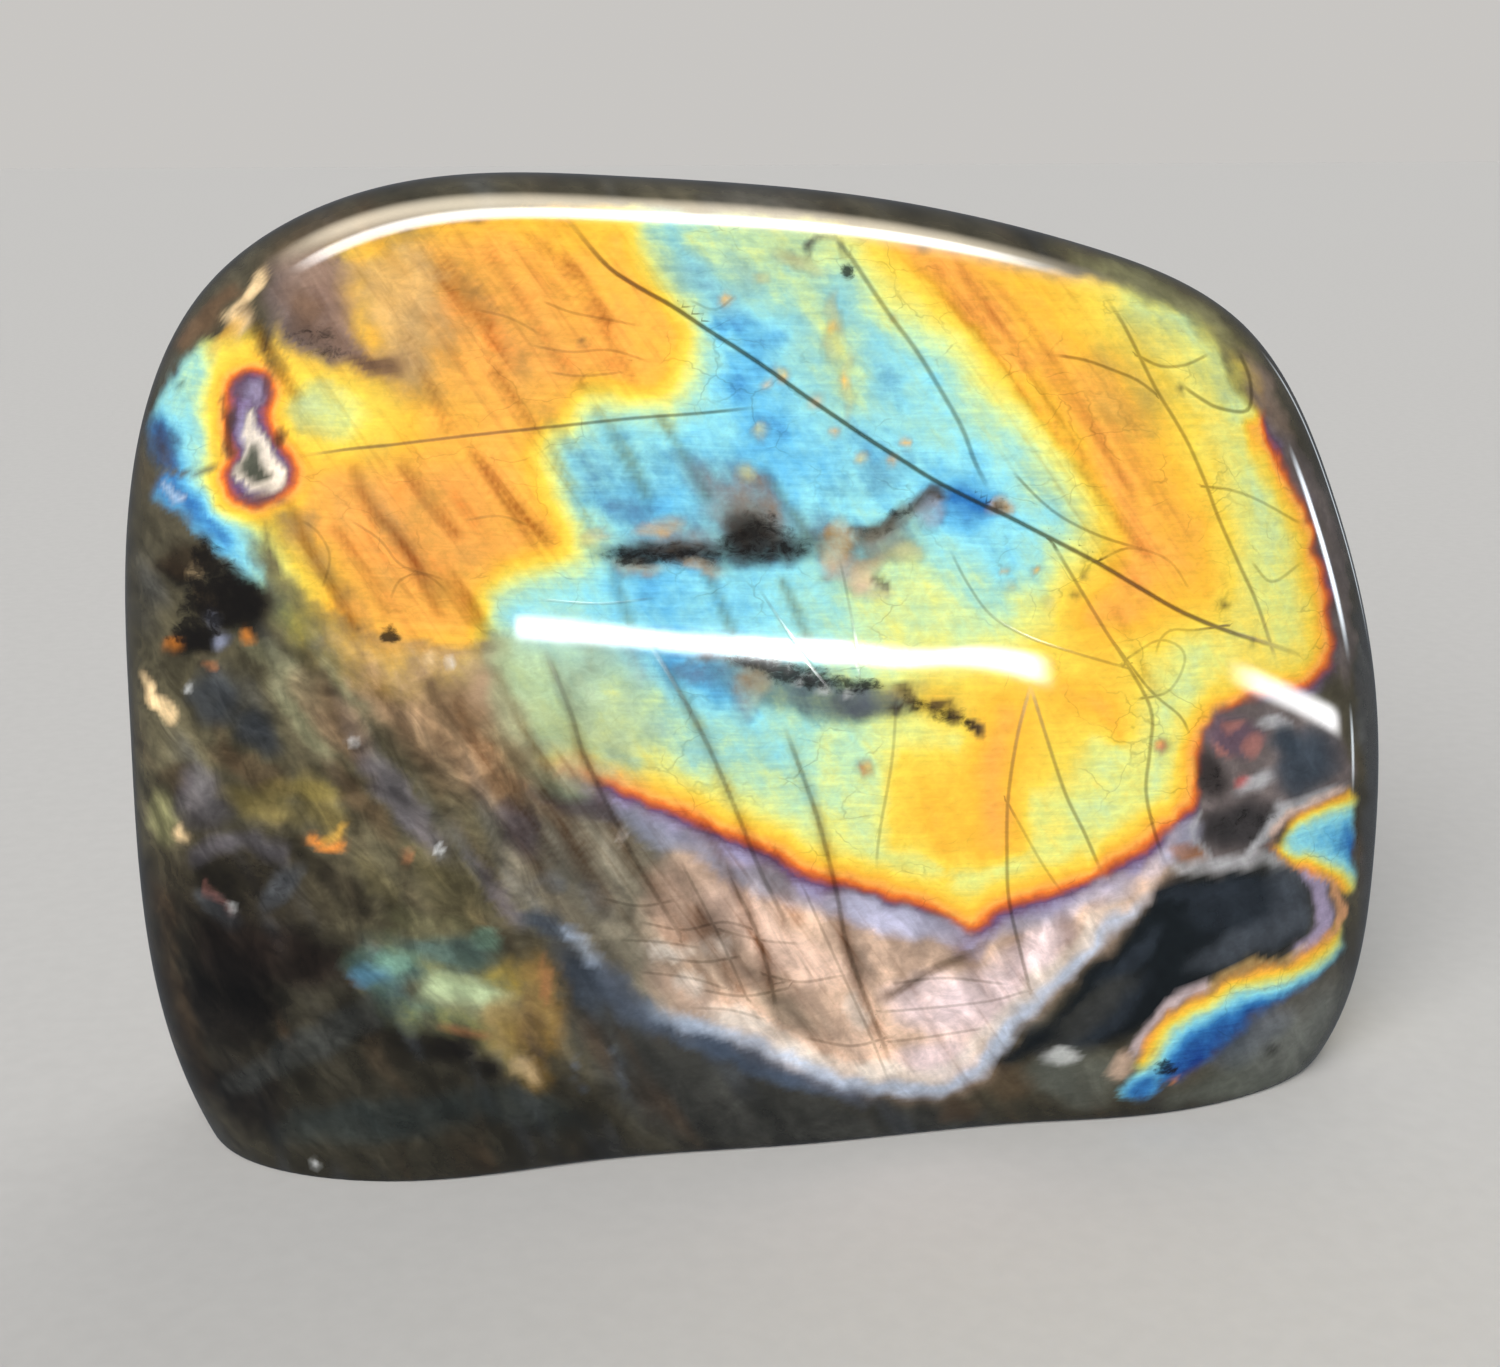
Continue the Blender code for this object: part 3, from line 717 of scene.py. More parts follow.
# Cracks: darkness, half width in px, points.
CRACKS = (
    (0.95, 2.3, (
        (560, 214), (571, 224), (591, 248), (612, 270), (640, 288), (672, 306), (708, 330), (741, 351),
        (772, 372), (801, 393), (836, 417), (870, 440), (902, 460), (934, 480), (975, 501), (1007, 516),
        (1050, 538), (1098, 563), (1140, 588), (1180, 611), (1225, 630), (1272, 645), (1311, 659))),
    (0.75, 1.6, (
        (301, 456), (350, 449), (390, 445), (448, 438), (502, 432), (569, 425), (636, 418), (703, 413),
        (761, 407))),
    (0.62, 2.3, (
        (833, 235), (850, 256), (870, 286), (892, 318), (916, 350), (940, 389), (962, 428), (975, 462),
        (989, 490))),
    (0.55, 1.5, ((1012, 471), (1040, 500), (1065, 519), (1100, 536), (1137, 548))),
    (0.60, 1.5, ((1055, 355), (1085, 360), (1113, 370), (1137, 380), (1156, 394))),
    (0.60, 1.8, (
        (1103, 293), (1122, 322), (1137, 351), (1156, 389), (1175, 420), (1190, 447), (1206, 484),
        (1219, 519), (1240, 566), (1258, 606), (1277, 664))),
    (0.55, 1.5, ((1137, 355), (1160, 366), (1185, 365), (1209, 354))),
    (0.65, 1.8, ((1180, 384), (1200, 398), (1219, 408), (1248, 410), (1250, 380), (1238, 350))),
    (0.45, 1.4, ((1200, 486), (1230, 490), (1258, 500), (1301, 524))),
    (0.40, 1.4, ((1252, 562), (1272, 582), (1301, 563))),
    (0.45, 1.4, ((949, 548), (968, 584), (992, 616), (1030, 638), (1065, 650), (1127, 668))),
    (0.60, 1.8, (
        (1031, 683), (1017, 738), (1008, 800), (1007, 857), (1009, 900), (1020, 950), (1033, 1001))),
    (0.60, 1.8, ((1031, 687), (1048, 742), (1066, 795), (1084, 832), (1101, 871))),
    (0.60, 1.8, (
        (1050, 539), (1079, 587), (1105, 630), (1127, 664), (1151, 710), (1150, 750), (1146, 790),
        (1154, 830), (1166, 866))),
    (0.55, 1.4, ((1112, 640), (1150, 690), (1180, 716), (1190, 735))),
    (0.48, 2.3, ((653, 647), (684, 700), (711, 752), (740, 820), (760, 870), (790, 930))),
    (0.50, 2.3, ((784, 725), (808, 790), (821, 830), (836, 890), (847, 945), (870, 1010), (894, 1070))),
    (0.40, 1.5, ((897, 692), (892, 760), (880, 830), (876, 868))),
    (0.42, 2.3, ((544, 647), (570, 710), (585, 757), (630, 850), (680, 935))),
    (0.50, 2.2, ((728, 875), (753, 924), (768, 970), (776, 1008))),
    (0.35, 1.4, ((680, 860), (716, 930), (748, 1000))),
    (0.35, 1.4, ((800, 880), (836, 960), (868, 1030), (890, 1084))),
    (0.35, 1.4, ((760, 590), (800, 650), (830, 690))),
    (0.30, 1.4, ((840, 560), (852, 620), (860, 680))),
    (0.30, 1.3, ((690, 300), (715, 310), (735, 296))),
    (0.40, 1.3, ((1156, 654), (1160, 640), (1171, 630), (1195, 630), (1229, 625))),
    (0.35, 1.3, ((1125, 660), (1160, 640), (1185, 655), (1170, 690), (1135, 700))),
    (0.30, 1.3, ((1100, 560), (1130, 548), (1168, 560), (1190, 590))),
    (0.35, 1.4, ((1006, 800), (1040, 860), (1060, 890))),
    (0.35, 1.3, ((880, 1012), (930, 1008), (990, 1001), (1030, 990))),
    (0.35, 1.3, ((890, 1042), (935, 1036), (985, 1028))),
    (0.35, 1.3, ((620, 940), (660, 942), (700, 948))),
    (0.35, 1.3, ((640, 972), (690, 978), (724, 988))),
    (0.30, 1.3, ((690, 1008), (730, 1010), (766, 1020))),
    (0.30, 1.3, ((720, 930), (760, 940), (800, 944))),
    (0.40, 1.4, ((600, 898), (640, 906), (676, 900))),
    (0.40, 1.4, ((640, 922), (684, 930), (722, 922), (750, 928))),
    (0.40, 1.4, ((664, 958), (704, 962), (742, 956))),
    (0.40, 1.4, ((700, 990), (744, 996), (790, 988))),
    (0.40, 1.4, ((762, 974), (800, 982), (840, 976))),
    (0.40, 1.4, ((806, 1038), (852, 1046), (892, 1036))),
    (0.40, 1.4, ((890, 984), (944, 978), (1004, 984))),
    (0.35, 1.3, ((540, 300), (570, 312), (600, 318), (640, 326))),
    (0.35, 1.3, ((530, 345), (570, 352), (610, 350), (650, 362))),
    (0.35, 1.3, ((548, 372), (580, 376), (625, 372))),
    (0.30, 1.3, ((478, 310), (510, 318), (540, 334))),
    (0.35, 1.3, ((350, 520), (380, 540), (402, 566), (440, 578))),
    (0.30, 1.3, ((390, 600), (400, 580), (424, 574), (446, 590))),
    (0.30, 1.3, ((300, 520), (316, 530), (330, 556), (322, 590))),
    (0.30, 1.3, ((466, 520), (500, 516), (530, 526))),
    (0.35, 1.3, ((540, 600), (600, 604), (655, 598))),
)

# The colours that a marking may be painted in, as display red, green and blue.
TONES = {
    "smoky olive": (88, 82, 62),
    "khaki brown": (160, 130, 94),
    "tan": (168, 138, 106),
    "mauve brown": (138, 118, 104),
    "slate ink": (56, 66, 76),
    "dark ground": (46, 43, 34),
    "grey ground": (58, 58, 54),
    # painted reflection
    "painted reflection grey": (52, 54, 52),
    "steel": (58, 58, 54),
    "deep slate": (50, 57, 66),
    "steel blue": (72, 86, 106),
    "blue slate": (88, 124, 160),
    "deep teal": (40, 52, 54),
    "soot": (18, 15, 13),
    "red soot": (30, 22, 18),
    "ink": (18, 23, 26),
    "slate": (84, 90, 98),
    "dove": (142, 134, 126),
    "grey brown": (122, 115, 98),
    "rose brown": (214, 182, 158),
    "rose": (222, 190, 172),
    "dusky rose": (176, 118, 108),
    "pale rose": (236, 214, 216),
    "bone": (234, 224, 212),
    "mauve": (182, 182, 206),
    "mauve grey": (98, 94, 102),
    "lilac": (178, 164, 196),
    "violet grey": (76, 68, 76),
    "blue grey": (140, 146, 168),
    "smoke": (94, 97, 88),
    "pale grey": (178, 178, 180),
    "pale blue": (190, 208, 232),
    "grey plum": (108, 98, 96),
    "plum": (104, 80, 96),
    "rose red": (196, 92, 90),
    "umber": (58, 46, 32),
    "bark": (92, 70, 48),
    "brown rim": (104, 80, 58),
    "rust": (158, 106, 70),
    "bright rust": (232, 140, 50),
    "amber": (250, 190, 76),
    "ochre": (140, 114, 66),
    "peach": (238, 206, 156),
    "bright peach": (226, 166, 118),
    "cream": (238, 224, 204),
    "straw": (224, 220, 150),
    "pale straw": (214, 222, 160),
    "khaki": (206, 172, 108),
    "olive": (104, 98, 66),
    "moss": (98, 90, 60),
    "gold moss": (134, 118, 56),
    "pale moss": (136, 136, 104),
    "deep moss": (60, 66, 54),
    "lichen": (146, 144, 100),
    "sage": (176, 198, 154),
    "teal": (66, 92, 88),
    "pale teal": (112, 152, 132),
    "sea blue": (66, 120, 160),
    # painted highlights
    "painted glint white": (228, 230, 228),
}
BODY_TONE = (74, 69, 54)
# The rim's tone is painted shade: the dark that the markings fade to along the main view's silhouette.
RIM_SHADE_TONE = (34, 31, 25)
BACK_TONE = (84, 82, 72)
CRACK_TONE = (118, 112, 94)
STREAK_TONE = (150, 112, 74)

# The flash's colours, from the thinnest layer to the thickest.
FLASH_COLOURS = (
    (0.00, (22, 58, 130)),
    (0.08, (50, 120, 184)),
    (0.18, (102, 184, 222)),
    (0.28, (142, 216, 226)),
    (0.38, (162, 214, 196)),
    (0.46, (194, 224, 168)),
    (0.54, (224, 226, 126)),
    (0.62, (244, 212, 78)),
    (0.70, (250, 188, 60)),
    (0.77, (250, 172, 76)),
    (0.82, (228, 118, 46)),
    (0.86, (172, 82, 60)),
    (0.90, (106, 78, 112)),
    (0.95, (158, 152, 184)),
    (1.00, (176, 156, 156)),
)


# ------------------------------------------------------------------ drawing in the view's frame

def soft_step(value, low, high):
    t = np.clip((value - low) / (high - low), 0.0, 1.0)
    return t * t * (3 - 2 * t)


def smooth_line(points, gap, closed=False):
    """Points about gap apart along a smooth line through the given ones."""
    here = np.array(points, float)
    if closed:
        here = np.vstack([here[-1], here, here[0], here[1]])
    else:
        here = np.vstack([2 * here[0] - here[1], here, 2 * here[-1] - here[-2]])
    pieces = []
    for before, start, end, after in zip(here[:-3], here[1:-2], here[2:-1], here[3:]):
        count = max(int(np.hypot(*(end - start)) / gap), 1)
        t = (np.arange(count) / count)[:, None]
        pieces.append(0.5 * (
            2 * start + (end - before) * t + (2 * before - 5 * start + 4 * end - after) * t**2
            + (3 * start - before - 3 * end + after) * t**3))
    if not closed:
        pieces.append(here[-2:-1])
    return np.vstack(pieces)


def gaps_between(line, other):
    """The gap from each point of a line to each point of another."""
    return np.hypot(*(line[:, None] - other[None]).transpose(2, 0, 1))


def moved_aside(line, reach):
    """The line moved reach px to its left, without the loops that it makes in a sharp bend."""
    ahead = np.gradient(line, axis=0)
    ahead /= np.maximum(np.hypot(ahead[:, 0], ahead[:, 1])[:, None], TINY)
    moved = line + np.stack([ahead[:, 1], -ahead[:, 0]], axis=1) * reach
    apart = gaps_between(moved, line).min(axis=1)
    return moved[apart > abs(reach) * KEPT_SHARE - KEPT_SLACK]


def in_box(x, y, low, high):
    """Which places lie between two corners."""
    return np.flatnonzero((x > low[0]) & (x < high[0]) & (y > low[1]) & (y < high[1]))


def to_line(x, y, line, far):
    """For each place: its gap to a line, up to far, the share along the line, and the line's side."""
    gap = np.full(x.shape, float(far))
    share = np.zeros(x.shape)
    side = np.ones(x.shape)
    near = in_box(x, y, line.min(axis=0) - far, line.max(axis=0) + far)
    best = gap[near] ** 2
    for k, (start, end) in enumerate(zip(line[:-1], line[1:])):
        run = end - start
        t = ((x[near] - start[0]) * run[0] + (y[near] - start[1]) * run[1]) / (run @ run + TINY)
        t = np.clip(t, 0, 1)
        dx = start[0] + t * run[0] - x[near]
        dy = start[1] + t * run[1] - y[near]
        square = dx * dx + dy * dy
        closer = square < best
        best[closer] = square[closer]
        share[near[closer]] = (k + t[closer]) / (len(line) - 1)
        side[near[closer]] = np.sign(run[0] * dy[closer] - run[1] * dx[closer])
    gap[near] = np.sqrt(best)
    return gap, share, side


def depth_inside(x, y, outline, reach):
    """How far each place lies inside a smooth closed outline, in px, and below zero outside it."""
    loop = smooth_line(outline, OUTLINE_GAP, closed=True)
    loop = np.vstack([loop, loop[:1]])
    gap, *_ = to_line(x, y, loop, reach)
    near = in_box(x, y, loop.min(axis=0), loop.max(axis=0))
    odd = np.zeros(near.shape, bool)
    for (ax, ay), (bx, by) in zip(loop[:-1], loop[1:]):
        if ay == by:
            continue
        crosses = (ay > y[near]) != (by > y[near])
        odd ^= crosses & (x[near] < ax + (bx - ax) * (y[near] - ay) / (by - ay))
    within = np.zeros(x.shape, bool)
    within[near] = odd
    return np.where(within, gap, -gap)


class Ripples:
    """A field of crossed waves about 0, with the same draw each run, which roughens what is drawn."""

    def __init__(self, seed, shortest, longest, count=USUAL_WAVES, axes=2):
        draw = np.random.default_rng(seed)
        length = shortest * (longest / shortest) ** draw.random(count)
        toward = draw.normal(size=(count, axes))
        toward /= np.linalg.norm(toward, axis=1)[:, None]
        self.wave = toward * 2 * np.pi / length[:, None]
        self.start = draw.random(count) * 2 * np.pi
        self.weight = np.sqrt(length / length.sum())

    def at(self, *place):
        total = np.zeros(place[0].shape)
        for wave, start, weight in zip(self.wave, self.start, self.weight):
            total += weight * np.sin(sum(w * p for w, p in zip(wave, place)) + start)
        return total


def stretched_sheet(marks):
    """A sheet stretched over marked heights, row by row: across, down, height."""
    sheet = None
    for cell in SHEET_CELLS:
        wide, high = FRAME_WIDTH // cell + 2, FRAME_HEIGHT // cell + 2
        column = np.clip(np.rint(marks[:, 0] / cell).astype(int), 0, wide - 1)
        row = np.clip(np.rint(marks[:, 1] / cell).astype(int), 0, high - 1)
        total, count = np.zeros((high, wide)), np.zeros((high, wide))
        np.add.at(total, (row, column), marks[:, 2])
        np.add.at(count, (row, column), 1)
        held = count > 0
        pinned = total[held] / count[held]
        if sheet is None:
            sheet = np.full((high, wide), marks[:, 2].mean())
        else:
            down, across = np.mgrid[0:high, 0:wide]
            sheet = read_sheet(sheet, across / 2, down / 2)
        for _ in range(SHEET_SWEEPS):
            sheet[held] = pinned
            edged = np.pad(sheet, 1, mode="edge")
            sheet = (edged[:-2, 1:-1] + edged[2:, 1:-1] + edged[1:-1, :-2] + edged[1:-1, 2:]) / 4
    return sheet


def read_sheet(sheet, across, down):
    """The sheet's height between its cells' middles."""
    high, wide = sheet.shape
    across = np.clip(across, 0, wide - LAST_CELL)
    down = np.clip(down, 0, high - LAST_CELL)
    j, i = across.astype(int), down.astype(int)
    u, v = across - j, down - i
    upper = sheet[i, j] * (1 - u) + sheet[i, j + 1] * u
    lower = sheet[i + 1, j] * (1 - u) + sheet[i + 1, j + 1] * u
    return upper * (1 - v) + lower * v


def linear(colour):
    """A display colour, 0 to 255, as the linear one that Blender works in: the usual curve."""
    value = np.array(colour, float) / 255
    return np.where(value <= 0.04045, value / 12.92, ((value + 0.055) / 1.055) ** 2.4)


# ------------------------------------------------------------------ the markings on the face

def layer_thickness(x, y):
    marks = []
    for sides, points in FLASH_LINES.values():
        line = smooth_line(points, FLASH_GAP)
        for reach, level in sides:
            moved = moved_aside(line, reach) if reach else line
            marks.append(np.column_stack([moved, np.full(len(moved), level)]))
    sheet = stretched_sheet(np.vstack(marks))
    return read_sheet(sheet, x / SHEET_CELLS[-1], y / SHEET_CELLS[-1])


def patch_cover(x, y, patch):
    strength, edge, outline = patch
    return strength * soft_step(depth_inside(x, y, outline, edge + MARGIN), -edge, edge)


def gather(x, y, patches):
    """The strongest of the patches at each place."""
    total = np.zeros(len(x))
    for patch in patches.values():
        total = np.maximum(total, patch_cover(x, y, patch))
    return total


def cloud_cover(x, y, across, down, long, wide, lean):
    """How much of an oval cloud covers each place: all in its middle, thinning out past its edge."""
    ahead_x, ahead_y = np.cos(np.radians(lean)), np.sin(np.radians(lean))
    right, below = x - across, y - down
    run = (right * ahead_x + below * ahead_y) / long
    off = (below * ahead_x - right * ahead_y) / wide
    return 1 - soft_step(run * run + off * off, *CLOUD_EDGE)


def taper(share):
    """Lets a line's strength rise from its ends."""
    return soft_step(share, *TAPER) * soft_step(1 - share, *TAPER)


def line_cover(x, y, points, gap, core, end):
    """How much of a soft line covers each place: all to the core's edge, and nothing past the end."""
    away, share, _ = to_line(x, y, smooth_line(points, gap), end + MARGIN)
    return taper(share) * (1 - soft_step(away, core, end))


def along_cleavage(x, y):
    """Places counted across the cleavage, and along it on a shorter scale."""
    lean_x, lean_y = np.cos(CLEAVAGE_IN_VIEW), np.sin(CLEAVAGE_IN_VIEW)
    return x * lean_y - y * lean_x, (x * lean_x + y * lean_y) / CLEAVAGE_STRETCH


def tinted(tone, name, cover):
    return tone + (linear(TONES[name]) - tone) * cover[:, None]


def smoke_over(tone, smoke, hue):
    """The body's tone with lighter and darker, brown and grey clouds in it."""
    tone = tone * np.exp(SMOKE_DEPTH * smoke)[:, None]
    for name, direction, strength in SMOKE_TONES:
        tone = tinted(tone, name, strength * soft_step(direction * hue, *HUE_RISE))
    return tone


def face_layers(x, y):
    """What is painted over the face, one after the other: a tone, and how much of it covers each place."""
    for name, *patch in TONE_PATCHES.values():
        yield name, patch_cover(x, y, patch)
    for name, strength, places in CLOUDS:
        for place in places:
            yield name, strength * cloud_cover(x, y, *place)
    for name, strength, half, edge, points in STROKES.values():
        yield name, strength * line_cover(x, y, points, STROKE_GAP, STROKE_CORE * half, half + edge)
    for name, radius, places in SPECKS:
        for across, down in places:
            gap = np.hypot(x - across, y - down)
            yield name, SPECK_STRENGTH * (1 - soft_step(gap, 0.0, SPECK_SPREAD * radius))


def paint_face(x, y, body_colour):
    """At each place on the face: the body's tone, and the flash's strength and thickness."""
    wave_x, wave_y = (Ripples(*waves).at(x, y) for waves in EDGE_WAVES)
    thickness = layer_thickness(x + FRINGE_WANDER * wave_x, y + FRINGE_WANDER * wave_y)
    wandered = x + EDGE_WANDER * wave_x, y + EDGE_WANDER * wave_y
    flash = gather(*wandered, FLASH_PATCHES)
    tone = np.tile(body_colour, (len(x), 1))
    for name, *patch in GROUND_PATCHES.values():
        tone = tinted(tone, name, patch_cover(*wandered, patch))
    cleaved = along_cleavage(x, y)
    tone = smoke_over(tone, Ripples(*FACE_SMOKE).at(*cleaved), Ripples(*FACE_HUES).at(*cleaved))
    for name, cover in face_layers(*wandered):
        tone = tinted(tone, name, cover)
        flash = flash * (1 - cover)
    return tone, flash, thickness


def room_for(line, channel):
    """The gap between a line and the nearest crack in a channel, up to the cracks' reach."""
    gaps = [gaps_between(line, other).min() for *_, other in channel]
    return min(gaps + [CRACK_REACH])


def sort_cracks():
    """The cracks' lines in channels, so that no two in a channel come near each other where that can be."""
    channels = [[] for _ in range(CRACK_CHANNELS)]
    for darkness, half, points in CRACKS:
        line = smooth_line(points, CRACK_GAP)
        rooms = [room_for(line, channel) for channel in channels]
        channels[rooms.index(max(rooms))].append((darkness, half, line))
    return channels


def trace_cracks(x, y):
    """For each place, in each channel, the steps to the nearest crack in half widths, with the sign of its
    side and without one; and how dark the cracks by it are."""
    signed, near = np.full((2, CRACK_CHANNELS, len(x)), CRACK_REACH)
    ink = np.zeros(len(x))
    for row, channel in enumerate(sort_cracks()):
        closest = np.full(len(x), CRACK_REACH)
        for darkness, half, line in channel:
            gap, share, side = to_line(x, y, line, CRACK_REACH)
            closer = gap < closest
            closest[closer] = gap[closer]
            near[row, closer] = gap[closer] / half
            signed[row, closer] = gap[closer] * side[closer] / half
            ink = np.maximum(ink, darkness * taper(share) * (1 - soft_step(gap, *CRACK_FADE)))
    return signed, near, ink


def trace_veils(x, y):
    """How dark the broad streaks along the cleavage are at each place."""
    veil = np.zeros(len(x))
    for strength, half, *lines in VEILS:
        for points in lines:
            veil = np.maximum(veil, strength * line_cover(x, y, points, VEIL_GAP, 0.0, VEIL_SPREAD * half))
    return veil


# ------------------------------------------------------------------ the stone's mesh

def closed_curve(points, steps):
    """Points along the smooth closed cubic curve through the given ones."""
    here = np.array(points)
    after, before = np.roll(here, -1, axis=0), np.roll(here, 1, axis=0)
    ahead = np.linalg.norm(after - here, axis=1)
    behind = np.roll(ahead, 1)
    around = np.eye(len(here))
    system = 2 * np.diag(ahead + behind)
    system += ahead[:, None] * np.roll(around, 1, axis=1) + behind[:, None] * np.roll(around, -1, axis=1)
    turn = (after - here) / ahead[:, None] - (here - before) / behind[:, None]
    bend = np.linalg.solve(system, 6 * turn)
    bend_after = np.roll(bend, -1, axis=0)
    t = (np.arange(steps) / steps)[:, None, None]
    span = (ahead**2 / 6)[:, None]
    curve = (bend * (1 - t) ** 3 + bend_after * t**3) * span
    curve = curve + (here - bend * span) * (1 - t) + (after - bend_after * span) * t
    return curve.swapaxes(0, 1).reshape(-1, 2)


def rim_distance(angle):
    """The outline's distance from the stone's middle at each angle."""
    spoke = closed_curve(OUTLINE_MM, CURVE_STEPS) * MM - MIDDLE[[0, 2]]
    around = np.arctan2(spoke[:, 1], spoke[:, 0])
    order = np.argsort(around)
    return np.interp(angle, around[order], np.hypot(*spoke.T)[order], period=2 * np.pi)


def profile(share):
    """Across and depth, 0 to 1, at a share of the way from the middle of the face to the rim."""
    turn = np.linspace(0, np.pi / 2, PROFILE_STEPS)
    size = (np.sin(turn) ** FULLNESS + np.cos(turn) ** FULLNESS) ** (1 / FULLNESS)
    across, depth = np.sin(turn) / size, np.cos(turn) / size
    length = np.hypot(np.diff(across) * HALF_WIDTH, np.diff(depth) * HALF_DEPTH).cumsum()
    length = np.concatenate([[0.0], length / length[-1]])
    return np.interp(share, length, across), np.interp(share, length, depth)


def rest_on_base(high, edge):
    """Heights with all below the base laid flat on it, by way of a small rounded edge."""
    rounded = (high + edge) ** 2 / (4 * edge)
    return np.where(high > edge, high, np.where(high < -edge, 0.0, rounded))


def half_stone(columns, rows, side, depth, base_edge):
    """One half's points and their places on a flat disc: side is -1 for the face and 1 for the back."""
    v, u = np.meshgrid(np.linspace(-1, 1, rows + 1), np.linspace(-1, 1, columns + 1), indexing="ij")
    disc = np.stack([u * np.sqrt(1 - v * v / 2), v * np.sqrt(1 - u * u / 2)], axis=-1)
    across, out_of_plane = profile(np.minimum(np.hypot(disc[..., 0], disc[..., 1]), 1.0))
    angle = np.arctan2(disc[..., 1] * HALF_HEIGHT, disc[..., 0] * HALF_WIDTH)
    out = across * rim_distance(angle)
    high = MIDDLE[2] + out * np.sin(angle)
    thick = depth * (1 - THINNING * (np.maximum(high - WIDEST_Z, 0.0) / HEIGHT) ** 2)
    points = np.stack([
        MIDDLE[0] + out * np.cos(angle),
        MIDDLE[1] + LEAN * high + side * out_of_plane * thick,
        rest_on_base(high, base_edge),
    ], axis=-1)
    return points.reshape(-1, 3), disc.reshape(-1, 2)


def edge_loop(grid):
    return np.concatenate([grid[0, :-1], grid[:-1, -1], grid[-1, :0:-1], grid[:0:-1, 0]])


def grid_quads(grid):
    corners = (grid[:-1, :-1], grid[:-1, 1:], grid[1:, 1:], grid[1:, :-1])
    return np.stack([corner.ravel() for corner in corners], axis=1)


def stone_mesh(settings):
    """The whole stone: a fine face and a back of half its fineness, which share the rim's points."""
    columns, rows = FACE_COLUMNS, FACE_ROWS
    face, face_disc = half_stone(columns, rows, -1, settings.face_depth, settings.base_edge)
    back, back_disc = half_stone(columns // 2, rows // 2, 1, settings.back_depth, settings.base_edge)
    face_grid = np.arange(len(face)).reshape(rows + 1, columns + 1)
    back_grid = face_grid[::2, ::2].copy()
    inner = np.zeros(back_grid.shape, bool)
    inner[1:-1, 1:-1] = True
    back_grid[inner] = len(face) + np.arange(inner.sum())
    rim = edge_loop(face_grid)
    between = {}
    for start, middle, end in zip(rim[::2], rim[1::2], np.roll(rim, -2)[::2]):
        between[start, end] = between[end, start] = int(middle)
    faces = grid_quads(face_grid).tolist()
    for quad in grid_quads(back_grid)[:, ::-1].tolist():
        corners = []
        for start, end in zip(quad, quad[1:] + quad[:1]):
            corners.append(start)
            if (start, end) in between:
                corners.append(between[start, end])
        faces.append(corners)
    mesh = bpy.data.meshes.new(STONE)
    mesh.from_pydata(np.vstack([face, back[inner.ravel()]]), [], faces)
    mesh.shade_smooth()
    lay_out_map(mesh, np.vstack([face_disc, back_disc[inner.ravel()]]), columns * rows * 4)
    return mesh


def lay_out_map(mesh, disc, face_corners):
    """The map for a baked finish: the face over its lower part, and the back in a strip above it."""
    corner = np.empty(len(mesh.loops), np.int32)
    mesh.loops.foreach_get("vertex_index", corner)
    place = disc[corner]
    place[:face_corners] = FACE_MAP_MIDDLE + place[:face_corners] * FACE_MAP_HALF
    place[face_corners:] = BACK_MAP_MIDDLE + place[face_corners:] * BACK_MAP_HALF
    layer = mesh.uv_layers.new(name="OFBake")
    layer.uv.foreach_set("vector", place.astype(np.float32).ravel())


def view_frame(place):
    """Where points fall in the main view's frame, in px, and the unit step from each to the view."""
    forward = -heading(VIEW_AZIMUTH, VIEW_ELEVATION)
    right = np.array((np.cos(VIEW_AZIMUTH), np.sin(VIEW_AZIMUTH), 0.0))
    up = np.cross(right, forward)
    seen = place - VIEW_PLACE
    ahead = seen @ forward
    across = FRAME_WIDTH / 2 + FOCAL_PX * (seen @ right) / ahead
    down = FRAME_HEIGHT / 2 - FOCAL_PX * (seen @ up) / ahead
    return across, down, -seen / np.linalg.norm(seen, axis=1)[:, None]


def paint_body(place, back_colour):
    """The tone, flash strength and layer thickness of the sides and the back."""
    def ripples(waves):
        return Ripples(*waves, axes=3).at(*(place / MM).T)

    tone = np.tile(back_colour, (len(place), 1))
    tone = smoke_over(tone, BODY_SMOKE_GAIN * ripples(BODY_SMOKE), BODY_HUE_GAIN * ripples(BODY_HUES))
    flash = BACK_FLASH * soft_step(ripples(BODY_FLASH), *BODY_FLASH_RISE)
    return tone, flash, BODY_THICKNESS + BODY_CHANGE * ripples(BODY_LAYER)


